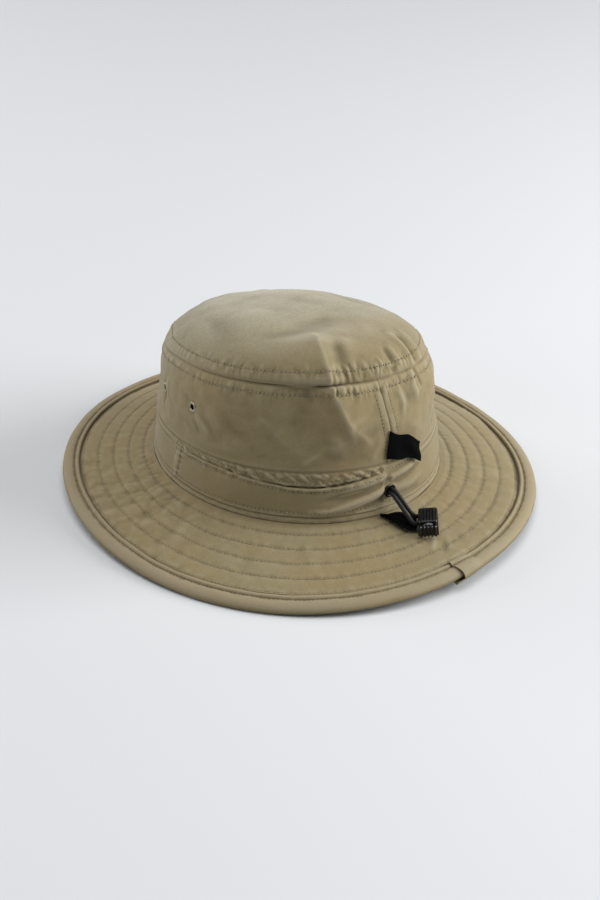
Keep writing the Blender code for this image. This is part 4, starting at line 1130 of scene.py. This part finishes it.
def make_tapes():
    angles = np.arange(360) + BACK
    columns = [wall(angles, np.full(360, level), -1.2 * MM) for level in (0.925, 0.95, 0.975, 1.0)]
    for rise in (3.0, 7.0, 12.0):
        columns.append(tip(angles, np.full(360, rise)) * [0.985, 0.985, 1.0] - [0, 0, 1.0 * MM])
    grid = blur_columns(np.stack(columns, 1))
    tape = cloth("crown_seam_tape_cloth", grid, lining_cloth, 0.4 * MM)
    put(tape, "crown_seam_tape", slot="khaki_lining")
    for name, middle in (("back_seam_tape", back_seam), ("front_seam_tape", lambda t: t * 0.0 + FRONT)):
        levels = np.linspace(0.41, 0.90, 30)
        share = np.linspace(-3.2, 3.2, 9)
        a = middle(levels)[None, :] + share[:, None]
        t = np.broadcast_to(levels, a.shape)
        lift = -1.25 * MM + np.minimum(crown_relief(a, t) - 1.1 * MM, 0.0)
        grid = raised(wall(a, t), lift, False)
        tape = cloth(name + "_cloth", grid, lining_cloth, 0.4 * MM, False)
        put(tape, name, slot="khaki_lining")


make_sweatband()
make_tapes()


# ---- eyelets ----
def turned(name, profile, sides, material, matrix):
    """A ring turned about local Z from a closed outline of (radius, height)."""
    turn = np.arange(sides) * 2 * pi / sides
    outline = np.array([*profile, profile[0]])
    radius, height = outline.T
    rings = [radius * np.cos(turn)[:, None], radius * np.sin(turn)[:, None], height]
    rings = np.stack(np.broadcast_arrays(*rings), -1)
    solid = add_mesh(name, rings.reshape(-1, 3), grid_quads(sides, len(outline), True), material)
    solid.data.transform(matrix)
    return solid


def seat_at(panel_point, facing):
    """A frame with local Z out of the cloth and local Y as near up as it can be."""
    out = Vector(facing).normalized()
    along = Vector((0.0, 0.0, 1.0)).cross(out).normalized()
    return axes_at(panel_point, along, out.cross(along), out)


def rolled(bore, radius):
    """Outline of an eyelet's rolled rim and barrel."""
    high, deep, thick = 0.9 * MM, -2.2 * MM, 0.45 * MM
    outline = [(bore, deep), (bore, high * 0.35)]
    for k in range(9):
        turn = radians(180.0 - 22.5 * k)
        middle = (bore + radius) / 2.0
        outline.append((middle + (radius - bore) / 2.0 * cos(turn), high * 0.25 + high * 0.75 * sin(turn)))
    return outline + [(radius, 0.0), (bore + thick, 0.0), (bore + thick, deep)]


def painted_hole_disc(radius):
    """Outline of a black disc inside an eyelet: painted shade that makes its hole look dark."""
    outline = ((0.02, -0.2), (radius, -0.2), (radius, 0.18), (0.02, 0.12))
    return [(r * MM, z * MM) for r, z in outline]


def make_eyelet(name, seat, bore, radius, hole, sides, material, slot, ringed=False):
    """A rolled rim, a black disc of painted shade behind its hole and, if ringed, a back ring inside the
    hat.
    """
    outline = rolled(bore * MM, radius * MM)
    put(turned(name + "_rim", outline, sides, material, seat), name, slot=slot)
    if ringed:
        outline = ((2.0, -1.75), (3.1, -1.75), (3.3, -1.55), (3.1, -1.2), (2.0, -1.2))
        outline = [(r * MM, z * MM) for r, z in outline]
        put(turned(name + "_back_ring", outline, sides, material, seat), name + "_washer", slot=slot)
    put(turned(name + "_hole_shade_disc", painted_hole_disc(hole), 24, black_cloth, seat))


def make_vents():
    for name, (angle, level) in VENTS.items():
        panel = left_panel if "left" in name else right_panel
        place, facing = on_panel(panel, np.array([angle]), np.array([level]))
        seat = seat_at(place[0], facing[0])
        make_eyelet(name, seat, 1.75, 3.6, 1.95, 40, khaki_enamel, "khaki_enamel", True)


make_vents()


# ---- drawcord, lock, ribbon and tag ----
def wall_seat(angle, level, out):
    """The eyelet's seat on the wall: local Z out, local X round the hat, local Y up."""
    def spot(a, t):
        return Vector(wall(np.array(a), np.array(t), out))
    round_hat = (spot(angle + 1.0, level) - spot(angle - 1.0, level)).normalized()
    outwards = round_hat.cross(spot(angle, level + 0.01) - spot(angle, level - 0.01)).normalized()
    return axes_at(spot(angle, level), round_hat, outwards.cross(round_hat), outwards)


def lock_seat(angle, out):
    """The cord lock on the brim: local X along it to its button, local Y with the cord."""
    def spot(a, distance):
        return Vector(brim(np.array(a), np.array(distance)))
    place = spot(angle, out)
    ahead, across = spot(angle, out + 10.0 * MM) - place, spot(angle + 2.0, out) - spot(angle - 2.0, out)
    normal = ahead.cross(across).normalized()
    heading = Vector((cos(radians(LOCK_HEADING)), sin(radians(LOCK_HEADING)), 0.0))
    long_axis = (heading - normal * heading.dot(normal)).normalized()
    seat = axes_at(place + normal * LOCK_STAND, long_axis, normal.cross(long_axis), normal)
    return seat @ Matrix.Rotation(radians(LOCK_ROLL), 4, "X")


SEAT = wall_seat(*CORD_EYELET, 1.6 * MM)
LOCK = lock_seat(*LOCK_AT)


def smooth_path(points, spacing):
    """Points a spacing apart on a smooth curve through a few."""
    padded = [points[0] * 2.0 - points[1], *points, points[-1] * 2.0 - points[-2]]
    fine = []
    for p0, p1, p2, p3 in zip(padded, padded[1:], padded[2:], padded[3:]):
        for i in range(24):
            t = i / 24.0
            fine.append(0.5 * (2.0 * p1 + (p2 - p0) * t + (2.0 * p0 - 5.0 * p1 + 4.0 * p2 - p3) * t * t
                               + (3.0 * p1 - p0 - 3.0 * p2 + p3) * t ** 3))
    fine = np.array([tuple(p) for p in fine] + [tuple(points[-1])])
    gone = length_along(fine)
    marks = np.linspace(0.0, gone[-1], max(int(gone[-1] / spacing), 2))
    return along_line(marks, gone, fine), gone[-1]


def braided(name, path, radius, material, sides=20, rough=0.075):
    """A round braid: its strands cross over each other along the tube. A rough of 0 is plain wire."""
    ahead = unit(np.gradient(path, axis=0))
    side = np.zeros_like(path)
    side[0] = unit(np.cross(ahead[0], [0.31, 0.17, 0.93]))
    for i in range(1, len(path)):
        side[i] = unit(side[i - 1] - ahead[i] * np.dot(side[i - 1], ahead[i]))
    other = np.cross(ahead, side)
    turn = np.arange(sides) * 2 * pi / sides
    gone = length_along(path)[:, None]
    over = np.sin(4 * turn[None] + gone / (0.42 * MM)) * np.sin(4 * turn[None] - gone / (0.42 * MM))
    size = radius * (1.0 - rough / 2.0 + rough * over)
    rings = path[:, None] + side[:, None] * (np.cos(turn)[None] * size)[..., None]
    rings = rings + other[:, None] * (np.sin(turn)[None] * size)[..., None]
    rings = np.transpose(rings, (1, 0, 2))[::-1]
    return add_mesh(name, rings.reshape(-1, 3), grid_quads(sides, len(path), True), material)


def make_strands():
    near, far, spot = -6.0, 4.5, 0.95
    low, high = CORD_LANES
    going = ((spot, spot, -2.0), (spot, spot, 3.0), (spot, spot - 0.3, 5.8))
    inside = ((low, near - 4.0, 2.3), (low, near, 0.0), (low, 0.0, 0.0), (low, far - 2.4, 0.0),
              (low + 0.7, far - 0.6, 0.0), (low + 2.2, far, 0.0), (0.5 * (low + high), far, 0.0),
              (high - 2.2, far, 0.0), (high - 0.7, far - 0.6, 0.0), (high, far - 2.4, 0.0),
              (high, 0.0, 0.0), (high, near, 0.0), (high, near - 4.0, 1.9))
    coming = ((-spot, -spot - 0.6, 5.8), (-spot, -spot, 3.0), (-spot, -spot, -2.0))
    route = [seat @ (Vector(p) * MM) for seat, stretch in ((SEAT, going), (LOCK, inside), (SEAT, coming))
             for p in stretch]
    path, length = smooth_path(route, 0.22 * MM)
    strands = braided("drawcord_strands", path, 1.36 * MM, black_braid)
    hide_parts("drawcord_loop")
    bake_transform(strands)
    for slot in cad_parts["drawcord"].material_slots:
        slot.material = black_braid


def rounded_box(low, high, radius):
    """A block with rounded edges, in millimetres, dense enough to carry ribs."""
    low, high, radius = np.array(low) * MM, np.array(high) * MM, radius * MM
    middle, half = (low + high) / 2.0, (high - low) / 2.0
    sheets, quads, count = [], [], 0
    for axis in range(3):
        for side in (-1.0, 1.0):
            u_axis, v_axis = (axis + 1) % 3, (axis + 2) % 3
            nu, nv = [max(int(2 * half[k] / (0.26 * MM)), 6) for k in (u_axis, v_axis)]
            u, v = np.meshgrid(np.linspace(-1, 1, nu), np.linspace(-1, 1, nv), indexing="ij")
            p = np.zeros((nu, nv, 3))
            p[..., axis], p[..., u_axis], p[..., v_axis] = side, u, v
            p = p * half
            core = np.clip(p, -(half - radius), half - radius)
            p = core + unit(p - core) * radius
            q = grid_quads(nu, nv, False)
            sheets.append(p.reshape(-1, 3))
            quads.append((q if side > 0 else q[:, ::-1]) + count)
            count += nu * nv
    return np.concatenate(sheets) + middle, np.concatenate(quads)


def lock_part(name, parts, *nodes, body="cord_lock"):
    """One piece from several lots of points and faces, set on the lock's seat."""
    count, quads = 0, []
    for points, faces in parts:
        quads.append(faces + count)
        count += len(points)
    points = np.concatenate([points for points, _ in parts])
    piece = add_mesh(name, points, np.concatenate(quads), black_plastic)
    piece.data.transform(LOCK)
    put(piece, *nodes, body=body, slot="black_plastic")


def make_lock():
    """Ribbed body with a bore for each strand, and the bar that the ribbon goes round."""
    points, quads = rounded_box((-8.0, -6.0, -4.4), (6.5, 6.0, 4.5), 1.7)
    x, y, z = points.T / MM
    low, high = CORD_LANES
    faces, ends = step(np.abs(z), 2.6, 4.0), step(np.abs(y), 4.8, 5.9)
    rib = 0.42 * np.cos(y * 2 * pi / 1.9) * step(6.4 - np.abs(x + 0.75), 0.0, 1.0) * faces
    side = 0.28 * np.cos(x * 2 * pi / 2.4) * ends * step(3.6 - np.abs(z), 0.0, 0.8)
    bores = np.minimum(np.hypot(x - low, z), np.hypot(x - high, z))
    mouth = np.hypot(np.maximum(np.abs(x - (low + high) / 2.0) - (high - low) / 2.0, 0.0), z)
    opening = np.where(y < 0.0, bores, mouth)
    dip = 2.4 * step(2.0 - opening, 0.0, 0.5) * step(np.abs(y), 5.0, 5.9)
    points[:, 2] += np.sign(z) * rib * MM
    points[:, 1] += np.sign(y) * (side * step(opening, 1.9, 2.7) - dip) * MM
    lock_part("cord_lock_shell", [(points, quads)], "cord_lock_body")
    boxes = (((-7.6, -10.2, -3.7), (6.1, -8.6, -2.3)), ((-7.6, -9.9, -3.7), (-6.2, -5.0, -2.3)),
             ((4.7, -9.9, -3.7), (6.1, -5.0, -2.3)))
    lock_part("cord_lock_ribbon_bar", [rounded_box(near, far, 0.55) for near, far in boxes])


def make_button():
    """The press button on its stem, and the spring round the stem."""
    points, quads = rounded_box((8.8, -6.5, -4.0), (11.3, 6.5, 4.0), 1.0)
    x, y, z = points.T / MM
    ridges = np.cos(y * 2 * pi / 2.3)
    points[:, 0] += 0.50 * MM * ridges * step(x, 10.2, 11.1)
    points[:, 2] += 0.32 * MM * np.sign(z) * ridges * step(np.abs(z), 3.0, 3.9)
    turn = np.arange(24) * 2 * pi / 24
    stem = [np.stack([np.full(24, end * MM), 2.4 * MM * np.cos(turn), 2.4 * MM * np.sin(turn)], -1)
            for end in (5.5, 6.0, 8.0, 9.4)]
    parts = [(points, quads), (np.stack(stem, 1).reshape(-1, 3), grid_quads(24, 4, True))]
    lock_part("cord_lock_press_button", parts, "cord_lock_button", body="lock_button")
    turns = np.linspace(0.0, 3.0, 91)
    coil = [5.2 + 1.0 * turns, 3.05 * np.cos(2 * pi * turns), 3.05 * np.sin(2 * pi * turns)]
    path = np.array([tuple(LOCK @ Vector(p)) for p in np.stack(coil, -1) * MM])
    spring = braided("cord_lock_coil_spring", path, 0.42 * MM, wire, 8, 0.0)
    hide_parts("cord_lock_spring")
    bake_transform(spring)


def make_ribbon():
    """Black ribbon gathered to a point in the brim seam and folded over the lock's bar."""
    to_lock = LOCK.inverted()
    root = to_lock @ Vector(brim(np.array(80.0), np.array(2.6 * MM), 2.6 * MM))
    bar = Vector((-0.7 * MM, -9.6 * MM, -1.8 * MM))
    rows, columns = 60, 33
    grid = np.zeros((rows, columns, 3))
    for i in range(rows):
        s = i / (rows - 1)
        middle = root.lerp(bar, s) + Vector((0.0, 0.0, 1.7 * MM * sin(pi * s)))
        middle.y += 2.2 * MM * max(s - 0.86, 0.0) / 0.14
        half = (0.9 + 6.2 * step(np.array(s), 0.0, 0.70) - 0.9 * step(np.array(s), 0.88, 0.97)) * MM
        middle.x += 1.0 * MM * s
        for j in range(columns):
            c = 2.0 * j / (columns - 1) - 1.0
            pleat = 0.55 * MM * sin(c * 9.5 + 0.8) * (1.0 - 0.72 * s) + 0.25 * MM * sin(c * 4.0 + 2.0 * s)
            lengthwise = -1.6 * MM * (1.0 - abs(c)) * 0.5 * (1.0 - s)
            place = middle + Vector((c * half, lengthwise, pleat - 0.7 * MM * c * c * (1.0 - s)))
            grid[i, j] = LOCK @ place
    grid = grid[:, ::-1]
    ribbon = cloth("cord_lock_ribbon_cloth", grid, black_cloth, 0.5 * MM, False)
    put(ribbon, "cord_lock_ribbon", body="cord_lock", slot="black_webbing")


# the tag's outline: degrees past the seam, with the levels of its lower and upper edges
TAG = ((0.0, 0.425, 0.635), (4.5, 0.409, 0.596), (9.0, 0.388, 0.570), (13.0, 0.354, 0.524),
       (16.5, 0.312, 0.470))


def make_tag():
    """Black tag sewn into the back seam, hanging at its free end, its edges waving."""
    rows, columns = 44, 34
    s, v = np.meshgrid(np.linspace(0.0, 1.0, rows), np.linspace(0.0, 1.0, columns), indexing="ij")
    turn = 16.6 * s
    degrees, lows, highs = np.array(TAG).T
    a = 85.9 + turn - 1.9 * (1.0 - v) * (1.0 - s)
    low = np.interp(turn, degrees, lows) + 0.005 * np.sin(s * 11.0 + 0.6)
    high = np.interp(turn, degrees, highs) + 0.005 * np.sin(s * 10.0 + 2.2)
    t = low + (high - low) * v
    out = 2.7 * MM + 1.0 * MM * step(s, 0.0, 0.3) + 0.9 * MM * s
    out += 0.75 * MM * np.sin(s * 8.5 + v * 2.4 + 0.4) * s ** 0.5
    out += 0.35 * MM * np.sin(v * 9.0 + s * 5.0) * s
    grid = wall(a, t, out)
    tag = cloth("back_tag_cloth", grid, black_cloth, 0.7 * MM, False)
    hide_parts("back_tag")
    bend = [Vector(wall(np.array(angle), np.array(0.53), 3.0 * MM)) for angle in (87.0, 88.6)]
    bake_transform(tag)
    sewn = Thread()
    sewn.sew(grid, 0.045 * (rows - 1), np.linspace(1.0, columns - 2.0, 60), False, holes=0.0)
    sewn.finish("back_tag_stitching", slot="black_webbing", material=black_cloth)


def make_cord_eyelet():
    seat = SEAT @ Matrix.Translation((0, 0, 0.35 * MM))
    make_eyelet("cord_eyelet", seat, 2.8, 4.5, 3.0, 48, black_enamel, "black_enamel")
    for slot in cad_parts["cord_eyelet_washer"].material_slots:
        slot.material = black_enamel


make_cord_eyelet()
make_strands()
make_lock()
make_button()
make_ribbon()
make_tag()
thread.finish("topstitching", material=thread_tone, hole_material=painted_hole_shadow)
